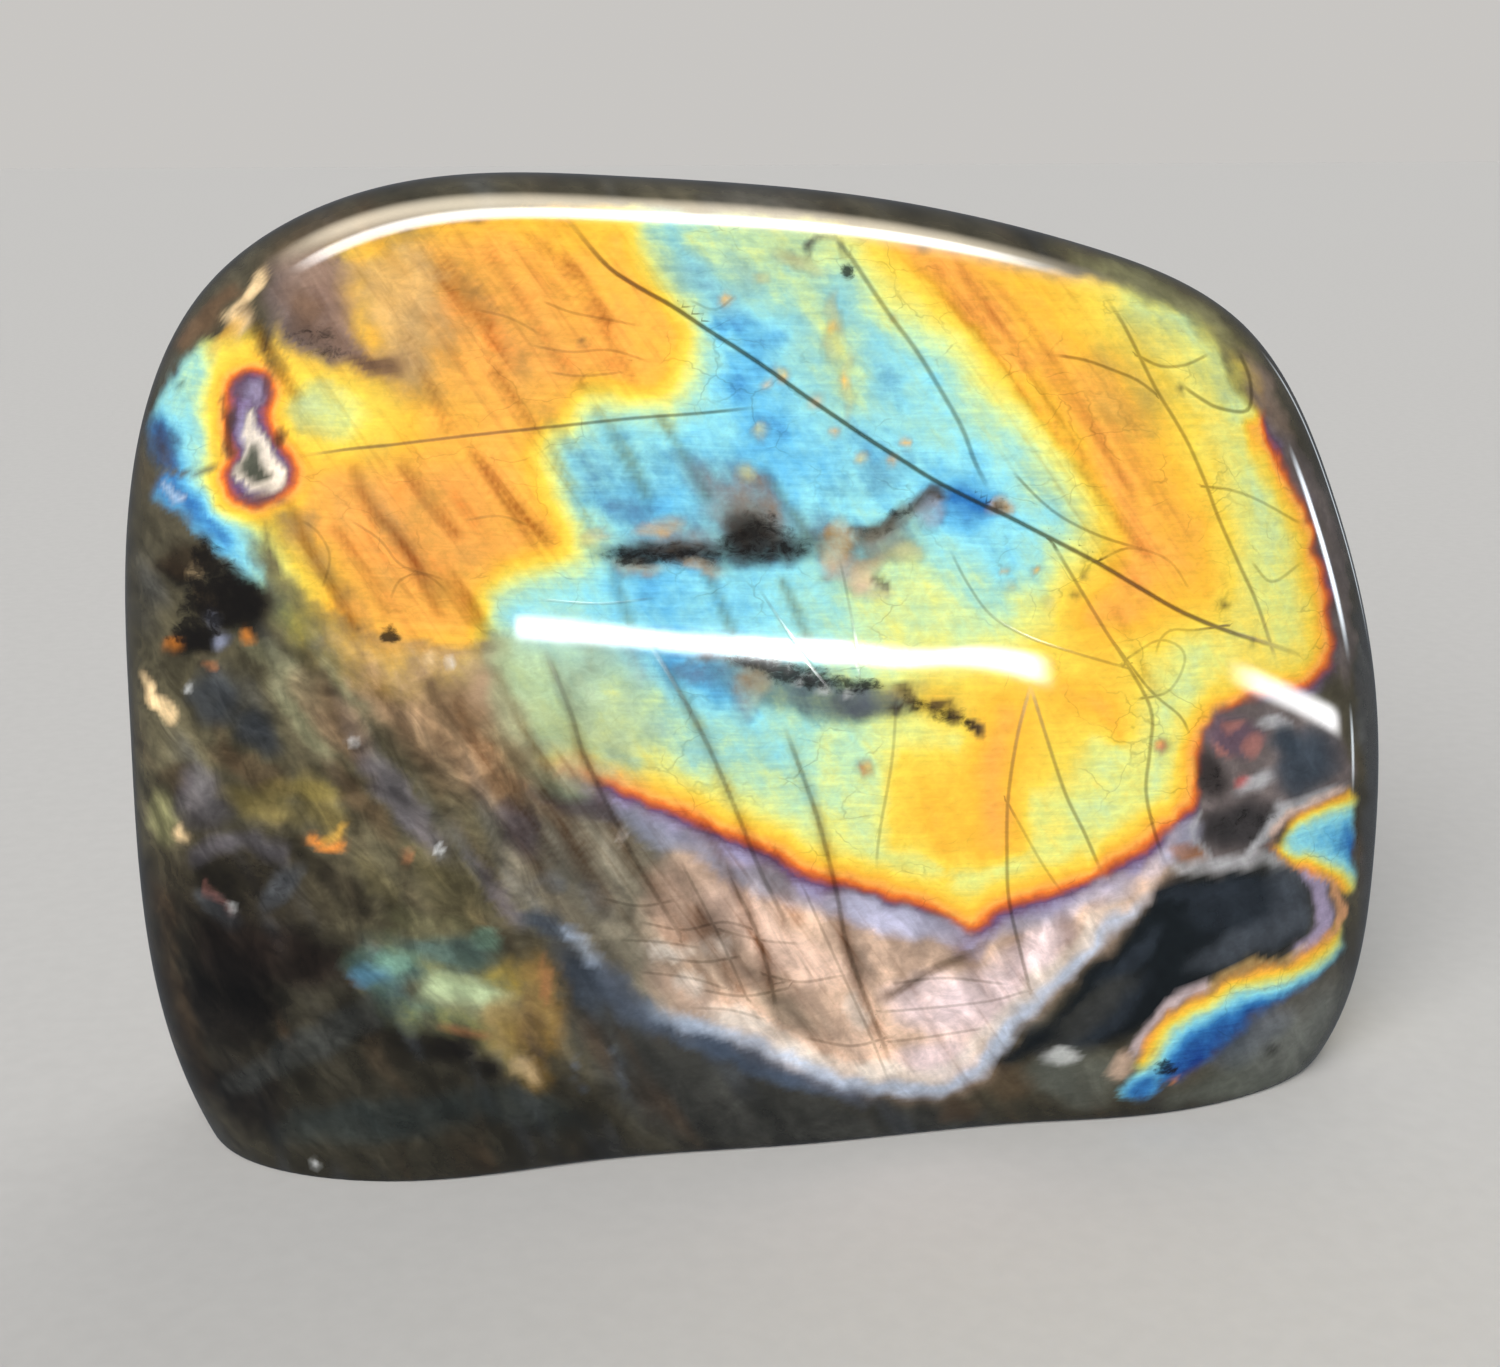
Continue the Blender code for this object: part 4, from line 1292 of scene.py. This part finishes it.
def mark_stone(mesh, settings):
    """Draws the markings, with a painted shade along the main view's silhouette, and keeps them on the mesh:
    the face's where the main view sees it.
    """
    count = len(mesh.vertices)
    place, normal = np.empty(count * 3), np.empty(count * 3)
    mesh.vertices.foreach_get("co", place)
    mesh.vertex_normals.foreach_get("vector", normal)
    place, normal = place.reshape(-1, 3), normal.reshape(-1, 3)
    across, down, to_view = view_frame(place)
    facing = (normal * to_view).sum(axis=1)
    share = soft_step(facing, MARKS_BEGIN, MARKS_WHOLE)
    seen = np.flatnonzero(share > 0)
    tone, flash, thickness = paint_body(place, settings.back_colour)
    face = paint_face(across[seen], down[seen], settings.body_colour)
    for values, face_values in zip((tone, flash, thickness), face):
        values[seen] += ((face_values - values[seen]).T * share[seen]).T
    # Painted shade: towards the main view's silhouette, from both sides of it, the tone darkens to the rim's
    # shade and the flash fades, in place of the dark reflections there.
    edge = SILHOUETTE_SHADE * (1 - soft_step(abs(facing), 0.0, SILHOUETTE_SHADE_REACH))
    tone += (np.array(settings.rim_shade_colour) - tone) * edge[:, None]

    # On the back, the deepest cracks and some of the cleavage come through.
    hidden = 1 - share
    signed, near, ink = trace_cracks(across, down)
    keep(mesh, "tone", "FLOAT_COLOR", np.column_stack([tone, np.ones(count)]), "color")
    keep(mesh, "cracks", "FLOAT_VECTOR", signed.T, "vector")
    keep(mesh, "cracks_near", "FLOAT_VECTOR", near.T, "vector")
    levels = {
        # the flash fades under the same painted shade at the silhouette
        "flash": flash * (1 - edge),
        "thickness": thickness,
        "crack_ink": ink * share + BACK_CRACKS * soft_step(ink, *THROUGH_CRACKS) * hidden,
        "veil": trace_veils(across, down) * (share + BACK_VEIL * hidden),
        "soot": gather(across, down, SOOT_PATCHES) * share,
        "streaks": STREAKS_EVERYWHERE + gather(across, down, STREAKED) * share + BACK_STREAKS * hidden,
        "smoky": SMOKE_EVERYWHERE + gather(across, down, SMOKY) * share,
    }
    for name, values in levels.items():
        keep(mesh, name, "FLOAT", values)


def keep(mesh, name, kind, values, field="value"):
    """Keeps a value for each point of the mesh as an attribute, which the material reads."""
    layer = mesh.attributes.new(name, kind, "POINT")
    layer.data.foreach_set(field, np.asarray(values, np.float32).ravel())


# ------------------------------------------------------------------ the stone's material

# Noises in the stone: the size of their features in mm along x, y and z, their turn in the face's plane,
# and their detail, roughness and swirl.
GRAINS = {
    "mottle": ((2.6, 3.0, 3.6), CLEAVAGE_TILT, 5.0, 0.58, 0.0),
    "cloud": ((1.3, 1.3, 0.8), 0.0, 6.0, 0.7, 0.6),
    "brushed": ((5.0, 3.0, 0.40), np.radians(3), 4.0, 0.6, 0.3),
    "cleaved": ((2.4, 9.0, 26.0), CLEAVAGE_TILT, 3.0, 0.5, 0.0),
    "fine cleaved": ((0.6, 6.0, 14.0), CLEAVAGE_TILT, 2.0, 0.5, 0.0),
    "smoke": ((6.0, 8.0, 8.0), CLEAVAGE_TILT, 4.0, 0.5, 1.2),
    "wisps": ((2.2, 4.0, 4.5), CLEAVAGE_TILT, 4.0, 0.55, 1.0),
}

# How much each noise changes the thickness of the flash's layer, and how freely where the layer is thick, at
# the fringe, and where it is thin. These and the other eased ranges below say where they begin and end, and
# what they give there.
LAYER_CHANGES = {"mottle": 0.45, "brushed": 0.10, "fine cleaved": 0.07}
LOOSE_WHERE_THICK = (0.34, 0.62, 1.0, 0.24)
LOOSE_WHERE_THIN = (0.05, 0.36, 0.40, 1.0)

# How bright the noises make the flash and the body, and how ragged they make the flash's edge.
BRUSHED_GLOW = (0.3, 0.7, 0.97, 1.10)
CLOUD_GLOW = (0.25, 0.75, 0.86, 1.08)
CLOUD_SHADE = (0.25, 0.75, 0.86, 1.14)
SMOKE_SHADE = (0.34, 0.68, 0.50, 1.45)
WISPS_SHADE = (0.32, 0.70, 0.62, 1.45)
RAGGED_EDGE = 6.0

# How dark the broad and the fine streaks are, and how much the mottle varies a veil.
BROAD_STREAKS = (0.52, 0.72, 0.0, 0.45)
FINE_STREAKS = (0.50, 0.75, 0.0, 0.22)
VEIL_MOTTLE = (0.3, 0.65, 0.5, 1.2)

# The net of hair cracks: the size of its meshes in mm, how its lines fade, and where the smoke shows it;
# and how far and how finely the meshes are bent.
NET_SIZE = (4.2, 4.2, 3.0)
NET_FADE = (0.0, 0.03, 0.30, 0.0)
NET_PLACES = (0.46, 0.66, 0.0, 1.0)
BEND, BEND_SCALE, BEND_DETAIL = 0.8, 1.3, 3.0

# How loosely the dark grains lie, and how dark they are.
GRAINS_SCATTER = 1.6
GRAINS_SHOW = (0.30, 0.82, 0.0, 0.90)

# How a crack fades from its middle and where it is cut off, in half widths; its depth and its roughness.
CRACK_FLANK = (0.3, 1.7)
CRACK_CUT = (3.5, 4.5)
GROOVE_STRENGTH, GROOVE_DEPTH = 0.1, 0.05 * MM
GROOVE_ROUGHNESS = 0.25

# How rough the mottle leaves the polish, and how strongly the stone bends light.
POLISH = (0.3, 0.8, 0.035, 0.07)
REFRACTION = 1.56

# The mix node's sockets for colours, and the range node's for the ends of a vector's range.
COLOUR_A, COLOUR_B, COLOUR_OUT = 6, 7, 2
VECTOR_RANGE = slice(7, 11)


class Graph:
    """The nodes of a material, a lamp or a world, added and linked in one go."""

    def __init__(self, owner, shader="Principled BSDF"):
        owner.use_nodes = True
        self.owner = owner
        self.tree = owner.node_tree
        self.shader = self.tree.nodes[shader]

    def add(self, kind, inputs=None, **settings):
        node = self.tree.nodes.new(kind)
        for name, value in settings.items():
            setattr(node, name, value)
        for name, value in (inputs or {}).items():
            self.feed(node.inputs[name], value)
        return node

    def feed(self, socket, value):
        if isinstance(value, bpy.types.NodeSocket):
            self.tree.links.new(value, socket)
        else:
            socket.default_value = value

    def set(self, **inputs):
        """Feeds the shader's inputs, whose names are given with _ for a space."""
        for name, value in inputs.items():
            self.feed(self.shader.inputs[name.replace("_", " ")], value)

    def place(self):
        return self.add("ShaderNodeTexCoord").outputs["Object"]

    def attribute(self, name, output="Fac"):
        return self.add("ShaderNodeAttribute", attribute_name=name).outputs[output]

    def math(self, operation, *values, clamp=False):
        inputs = dict(enumerate(values))
        return self.add("ShaderNodeMath", inputs, operation=operation, use_clamp=clamp).outputs[0]

    def vector_math(self, operation, *values):
        return self.add("ShaderNodeVectorMath", dict(enumerate(values)), operation=operation).outputs[0]

    def times(self, first, second):
        return self.math("MULTIPLY", first, second)

    def vary(self, noise, amount, base=0.0, clamp=False):
        """The base, moved up and down as the noise swings about its middle."""
        return self.math("MULTIPLY_ADD", self.math("SUBTRACT", noise, 0.5), amount, base, clamp=clamp)

    def eased(self, value, low, high, start=0.0, end=1.0):
        """The value, eased from start to end as it goes from low to high."""
        return self.add("ShaderNodeMapRange", {
            "Value": value, "From Min": low, "From Max": high, "To Min": start, "To Max": end,
        }, interpolation_type="SMOOTHSTEP").outputs["Result"]

    def faded(self, vector, low, high):
        """Each part of a vector, eased from 1 to 0 as it goes from low to high."""
        node = self.add("ShaderNodeMapRange", {"Vector": vector}, data_type="FLOAT_VECTOR",
                        interpolation_type="SMOOTHSTEP")
        for socket, level in zip(node.inputs[VECTOR_RANGE], (low, high, 1.0, 0.0)):
            socket.default_value = (level,) * 3
        return node.outputs["Vector"]

    def parts(self, vector):
        return self.add("ShaderNodeSeparateXYZ", {0: vector}).outputs

    def mix(self, factor, first, second, blend="MIX"):
        return self.add("ShaderNodeMix", {
            "Factor": factor, COLOUR_A: first, COLOUR_B: second,
        }, data_type="RGBA", blend_type=blend).outputs[COLOUR_OUT]

    def cells(self, vector, size, tilt=0.0):
        """Places counted in cells of the given size in mm along x, y and z, tilted in the face's plane."""
        return self.add("ShaderNodeMapping", {
            "Vector": vector, "Rotation": (0.0, tilt, 0.0), "Scale": tuple(s * MM for s in size),
        }, vector_type="TEXTURE").outputs[0]

    def grain(self, vector, size, tilt=0.0, detail=2.0, roughness=0.5, swirl=0.0):
        """Noise whose features are as large as the cells."""
        return self.add("ShaderNodeTexNoise", {
            "Vector": self.cells(vector, size, tilt), "Scale": 1.0, "Detail": detail,
            "Roughness": roughness, "Distortion": swirl,
        }).outputs["Fac"]

    def bent(self, vector, size):
        """Places counted in cells, bent about so that no edge runs straight."""
        cells = self.cells(vector, size)
        bend = self.add("ShaderNodeTexNoise", {"Vector": cells, "Scale": BEND_SCALE, "Detail": BEND_DETAIL})
        return self.vector_math("MULTIPLY_ADD", bend.outputs["Color"], (BEND,) * 3, cells)


def opaque(colour):
    return (*colour, 1.0)


def flash_colour(graph, grains):
    """The interference colour of the layer, whose thickness varies from place to place."""
    drawn = graph.attribute("thickness")
    loose = graph.times(graph.eased(drawn, *LOOSE_WHERE_THICK), graph.eased(drawn, *LOOSE_WHERE_THIN))
    change = 0.0
    for name, amount in LAYER_CHANGES.items():
        change = graph.vary(grains[name], amount, change)
    scale = graph.add("ShaderNodeValToRGB", {"Fac": graph.math("MULTIPLY_ADD", change, loose, drawn)})
    stops = scale.color_ramp.elements
    while len(stops) < len(FLASH_COLOURS):
        stops.new(1.0)
    for stop, (level, colour) in zip(stops, FLASH_COLOURS):
        stop.position = level
        stop.color = opaque(linear(colour))
    glow = graph.eased(grains["brushed"], *BRUSHED_GLOW)
    glow = graph.times(glow, graph.eased(grains["cloud"], *CLOUD_GLOW))
    return graph.mix(1.0, scale.outputs["Color"], glow, "MULTIPLY")


def flash_strength(graph, grains):
    """How strongly the flash shows, with a ragged edge where it is drawn half strong."""
    drawn = graph.attribute("flash")
    edge = graph.times(drawn, graph.math("SUBTRACT", 1.0, drawn))
    return graph.math("MULTIPLY_ADD", edge, graph.vary(grains["mottle"], RAGGED_EDGE), drawn, clamp=True)


def body_colour(graph, grains):
    """The body between the flashes: smoke and wisps, deep where it is drawn smoky."""
    haze = graph.eased(grains["smoke"], *SMOKE_SHADE)
    haze = graph.times(haze, graph.eased(grains["wisps"], *WISPS_SHADE))
    depth = graph.math("MULTIPLY_ADD", graph.math("SUBTRACT", haze, 1.0), graph.attribute("smoky"), 1.0)
    shade = graph.times(graph.eased(grains["cloud"], *CLOUD_SHADE), depth)
    return graph.mix(1.0, graph.attribute("tone", "Color"), shade, "MULTIPLY")


def cleavage_streaks(graph, grains):
    """The cleavage's soft dark streaks: the drawn veils, and broad and fine streaks between them."""
    broad = graph.eased(grains["cleaved"], *BROAD_STREAKS)
    fine = graph.eased(grains["fine cleaved"], *FINE_STREAKS)
    streaks = graph.times(graph.math("ADD", broad, fine), graph.attribute("streaks"))
    veil = graph.times(graph.attribute("veil"), graph.eased(grains["mottle"], *VEIL_MOTTLE))
    return graph.math("ADD", streaks, veil, clamp=True)


def hair_cracks(graph, place, grains):
    """A net of hair cracks, here and there."""
    net = graph.add("ShaderNodeTexVoronoi", {
        "Vector": graph.bent(place, NET_SIZE), "Scale": 1.0, "Randomness": 1.0,
    }, feature="DISTANCE_TO_EDGE").outputs["Distance"]
    return graph.times(graph.eased(net, *NET_FADE), graph.eased(grains["smoke"], *NET_PLACES))


def crack_depth(graph):
    """How deep in a drawn crack each place is, 0 to 1: the deepest of the three channels'."""
    across = graph.faded(graph.vector_math("ABSOLUTE", graph.attribute("cracks", "Vector")), *CRACK_FLANK)
    cut = graph.faded(graph.attribute("cracks_near", "Vector"), *CRACK_CUT)
    depth = graph.parts(graph.vector_math("MULTIPLY", across, cut))
    deepest = graph.math("MAXIMUM", graph.math("MAXIMUM", depth[0], depth[1]), depth[2])
    return graph.times(deepest, graph.attribute("crack_ink"))


def labradorite_material(settings):
    graph = Graph(bpy.data.materials.new("labradorite"))
    place = graph.place()
    grains = {name: graph.grain(place, *values) for name, values in GRAINS.items()}
    crack_colour = opaque(settings.crack_colour)
    flash = flash_strength(graph, grains)
    colour = graph.mix(flash, body_colour(graph, grains), flash_colour(graph, grains))
    colour = graph.mix(cleavage_streaks(graph, grains), colour, opaque(settings.streak_colour), "MULTIPLY")
    hair = graph.times(hair_cracks(graph, place, grains), flash)
    colour = graph.mix(hair, colour, crack_colour, "MULTIPLY")
    gathered = graph.vary(grains["cloud"], GRAINS_SCATTER, graph.attribute("soot"))
    colour = graph.mix(graph.eased(gathered, *GRAINS_SHOW), colour, opaque(linear(TONES["soot"])))
    groove = crack_depth(graph)
    colour = graph.mix(groove, colour, crack_colour, "MULTIPLY")
    polish = graph.eased(grains["mottle"], *POLISH)
    relief = graph.add("ShaderNodeBump", {
        "Strength": GROOVE_STRENGTH, "Distance": GROOVE_DEPTH, "Height": groove,
    }, invert=True)
    graph.set(Base_Color=colour, Roughness=graph.math("MULTIPLY_ADD", groove, GROOVE_ROUGHNESS, polish),
              IOR=REFRACTION, Normal=relief.outputs["Normal"])
    return graph.owner


# ------------------------------------------------------------------ the stage

FLOOR_GRAIN = (2.0, 2.0, 2.0)
FLOOR_DETAIL = 4.0
FLOOR_SHADE = (0.2, 0.8, 0.96, 1.0)
FLOOR_ROUGHNESS = 0.9


def floor_material(colour):
    graph = Graph(bpy.data.materials.new("pale floor"))
    grain = graph.grain(graph.place(), FLOOR_GRAIN, detail=FLOOR_DETAIL)
    shaded = graph.mix(1.0, opaque(colour), graph.eased(grain, *FLOOR_SHADE), "MULTIPLY")
    graph.set(Base_Color=shaded, Roughness=FLOOR_ROUGHNESS, Specular_IOR_Level=0.0)
    return graph.owner


def add_floor(settings):
    half = settings.floor_size / 2
    corners = [(-half, -half, 0), (half, -half, 0), (half, half, 0), (-half, half, 0)]
    mesh = bpy.data.meshes.new("floor")
    mesh.from_pydata(corners, [], [(0, 1, 2, 3)])
    mesh.materials.append(floor_material(settings.floor_colour))
    floor = bpy.data.objects.new("floor", mesh)
    floor.visible_glossy = False
    bpy.context.scene.collection.objects.link(floor)


def soften(lamp, softness):
    """Lets the lamp's light fall away to its edges, over the given shares of its width and height."""
    graph = Graph(lamp, "Emission")
    sides = graph.parts(graph.add("ShaderNodeNewGeometry").outputs["Parametric"])
    fades = []
    for side, soft in zip(sides, softness):
        off_middle = graph.math("ABSOLUTE", graph.math("SUBTRACT", side, 0.5))
        fades.append(graph.eased(off_middle, 0.5 * (1 - soft), 0.5, 1.0, 0.0))
    graph.set(Strength=graph.times(*fades))


def add_lamp(name, azimuth, elevation, distance, width, height, power, colour, turn, softness):
    """A flat lamp that faces the stone. It shows in the polish, but lights nothing."""
    lamp = bpy.data.lights.new(name, "AREA")
    lamp.shape = "RECTANGLE"
    lamp.size, lamp.size_y = width, height
    lamp.energy = power
    lamp.color = colour
    soften(lamp, softness)
    body = bpy.data.objects.new(name, lamp)
    toward = heading(np.radians(azimuth), np.radians(elevation))
    body.location = MIDDLE + distance * toward
    aim = Vector(-toward).to_track_quat("-Z", "Y")
    body.rotation_euler = (aim @ Euler((0.0, 0.0, np.radians(turn))).to_quaternion()).to_euler()
    body.visible_camera = False
    body.visible_diffuse = False
    bpy.context.scene.collection.objects.link(body)


def add_soft_light(name, strength, azimuth, elevation, spread):
    """A broad light over the whole stage that isn't reflected in the polish."""
    lamp = bpy.data.lights.new(name, "SUN")
    lamp.energy = strength
    lamp.angle = np.radians(spread)
    body = bpy.data.objects.new(name, lamp)
    toward = heading(np.radians(azimuth), np.radians(elevation))
    body.rotation_euler = Vector(toward).to_track_quat("Z", "Y").to_euler()
    body.visible_glossy = False
    bpy.context.scene.collection.objects.link(body)


def add_camera():
    lens = bpy.data.cameras.new("main view")
    lens.sensor_fit = "HORIZONTAL"
    lens.sensor_width = SENSOR_MM
    lens.lens = FOCAL_PX / FRAME_WIDTH * SENSOR_MM
    lens.clip_start = NEAREST_SEEN
    camera = bpy.data.objects.new("main view", lens)
    camera.location = VIEW_PLACE
    camera.rotation_euler = Vector(VIEW_TARGET - VIEW_PLACE).to_track_quat("-Z", "Y").to_euler()
    bpy.context.scene.collection.objects.link(camera)
    bpy.context.scene.camera = camera


def set_world(settings):
    """The room's soft light, and the paler backdrop that the camera sees past the floor."""
    world = bpy.data.worlds.new("studio")
    graph = Graph(world, "Background")
    seen = graph.add("ShaderNodeLightPath").outputs["Is Camera Ray"]
    colour = graph.mix(seen, opaque(settings.world_colour), opaque(settings.backdrop_colour))
    graph.set(Color=colour, Strength=graph.eased(seen, 0.0, 1.0, settings.world_strength, 1.0))
    bpy.context.scene.world = world


# ------------------------------------------------------------------ settings, operators and panel

def length_field(name, description, default, least):
    return bpy.props.FloatProperty(
        name=name, description=description, default=default, min=least, unit="LENGTH")


def strength_field(name, description, default):
    return bpy.props.FloatProperty(name=name, description=description, default=default, min=0.0)


def colour_field(name, description, default):
    return bpy.props.FloatVectorProperty(
        name=name, description=description, default=tuple(default), subtype="COLOR", min=0.0, max=1.0)


class StoneSettings(bpy.types.PropertyGroup):
    face_depth: length_field(
        "Face depth", "How far the face stands out from the middle plane", 20.5 * MM, 5 * MM)
    back_depth: length_field(
        "Back depth", "How far the back stands out from the middle plane", 17.0 * MM, 5 * MM)
    base_edge: length_field(
        "Base edge", "How far the polished edge round the flat base reaches", 0.8 * MM, 0.1 * MM)
    body_colour: colour_field("Body", "The colour of the stone between the flashes", linear(BODY_TONE))
    # Painted shade: the dark that the markings fade to along the main view's silhouette.
    rim_shade_colour: colour_field(
        "Rim", "The dark colour that the markings fade to at the rim", linear(RIM_SHADE_TONE))
    back_colour: colour_field("Back", "The colour of the back between its flashes", linear(BACK_TONE))
    streak_colour: colour_field(
        "Streaks", "What the cleavage's streaks darken the stone by", linear(STREAK_TONE))
    crack_colour: colour_field("Cracks", "What the cracks darken the stone by", linear(CRACK_TONE))


class StageSettings(bpy.types.PropertyGroup):
    floor_size: length_field("Floor size", "The side of the square floor", 6.0, 0.5)
    floor_colour: colour_field("Floor colour", "The colour of the plain floor", (0.60, 0.585, 0.56))
    world_colour: colour_field(
        "Surroundings", "The colour of the studio round the stone", (0.64, 0.69, 0.77))
    world_strength: strength_field(
        "Surroundings' light", "How bright the studio round the stone is", 0.18)
    backdrop_colour: colour_field(
        "Backdrop", "The colour that the camera sees past the floor", (0.58, 0.565, 0.545))
    key_strength: strength_field("Key light", "How strong the soft light from the upper left is", 3.75)
    fill_strength: strength_field("Fill light", "How strong the soft light from behind is", 0.9)


class STONE_OT_make_stone(bpy.types.Operator):
    """Make the polished stone and draw its markings"""

    bl_idname = "stone.make_stone"
    bl_label = "Make the stone"

    def execute(self, context):
        settings = context.scene.stone_settings
        mesh = stone_mesh(settings)
        mark_stone(mesh, settings)
        mesh.materials.append(labradorite_material(settings))
        stone = bpy.data.objects.new("polished_" + STONE, mesh)
        context.scene.collection.objects.link(stone)
        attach(stone, "root")
        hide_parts(STONE)
        return {"FINISHED"}


class STONE_OT_set_stage(bpy.types.Operator):
    """Set the floor, the lamps, the surroundings and the main view"""

    bl_idname = "stone.set_stage"
    bl_label = "Set the stage"

    def execute(self, context):
        settings = context.scene.stage_settings
        add_camera()
        add_floor(settings)
        set_world(settings)
        add_soft_light("key", settings.key_strength, *KEY_PLACE)
        add_soft_light("fill", settings.fill_strength, *FILL_PLACE)
        for lamp in LAMPS:
            add_lamp(*lamp)
        context.scene.view_settings.view_transform = "Standard"
        return {"FINISHED"}


class STONE_PT_panel(bpy.types.Panel):
    bl_idname = "STONE_PT_panel"
    bl_label = "Labradorite freeform"
    bl_space_type = "VIEW_3D"
    bl_region_type = "UI"
    bl_category = "Stone"

    def draw(self, context):
        for settings in (context.scene.stone_settings, context.scene.stage_settings):
            for name in settings.__annotations__:
                self.layout.prop(settings, name)
        self.layout.operator(STONE_OT_make_stone.bl_idname)
        self.layout.operator(STONE_OT_set_stage.bl_idname)


CLASSES = (StoneSettings, StageSettings, STONE_OT_make_stone, STONE_OT_set_stage, STONE_PT_panel)


def register():
    for kind in CLASSES:
        bpy.utils.register_class(kind)
    bpy.types.Scene.stone_settings = bpy.props.PointerProperty(type=StoneSettings)
    bpy.types.Scene.stage_settings = bpy.props.PointerProperty(type=StageSettings)


def unregister():
    del bpy.types.Scene.stone_settings
    del bpy.types.Scene.stage_settings
    for kind in reversed(CLASSES):
        bpy.utils.unregister_class(kind)


def main():
    register()
    bpy.ops.stone.make_stone()
    bpy.ops.stone.set_stage()


if __name__ == "__main__":
    main()
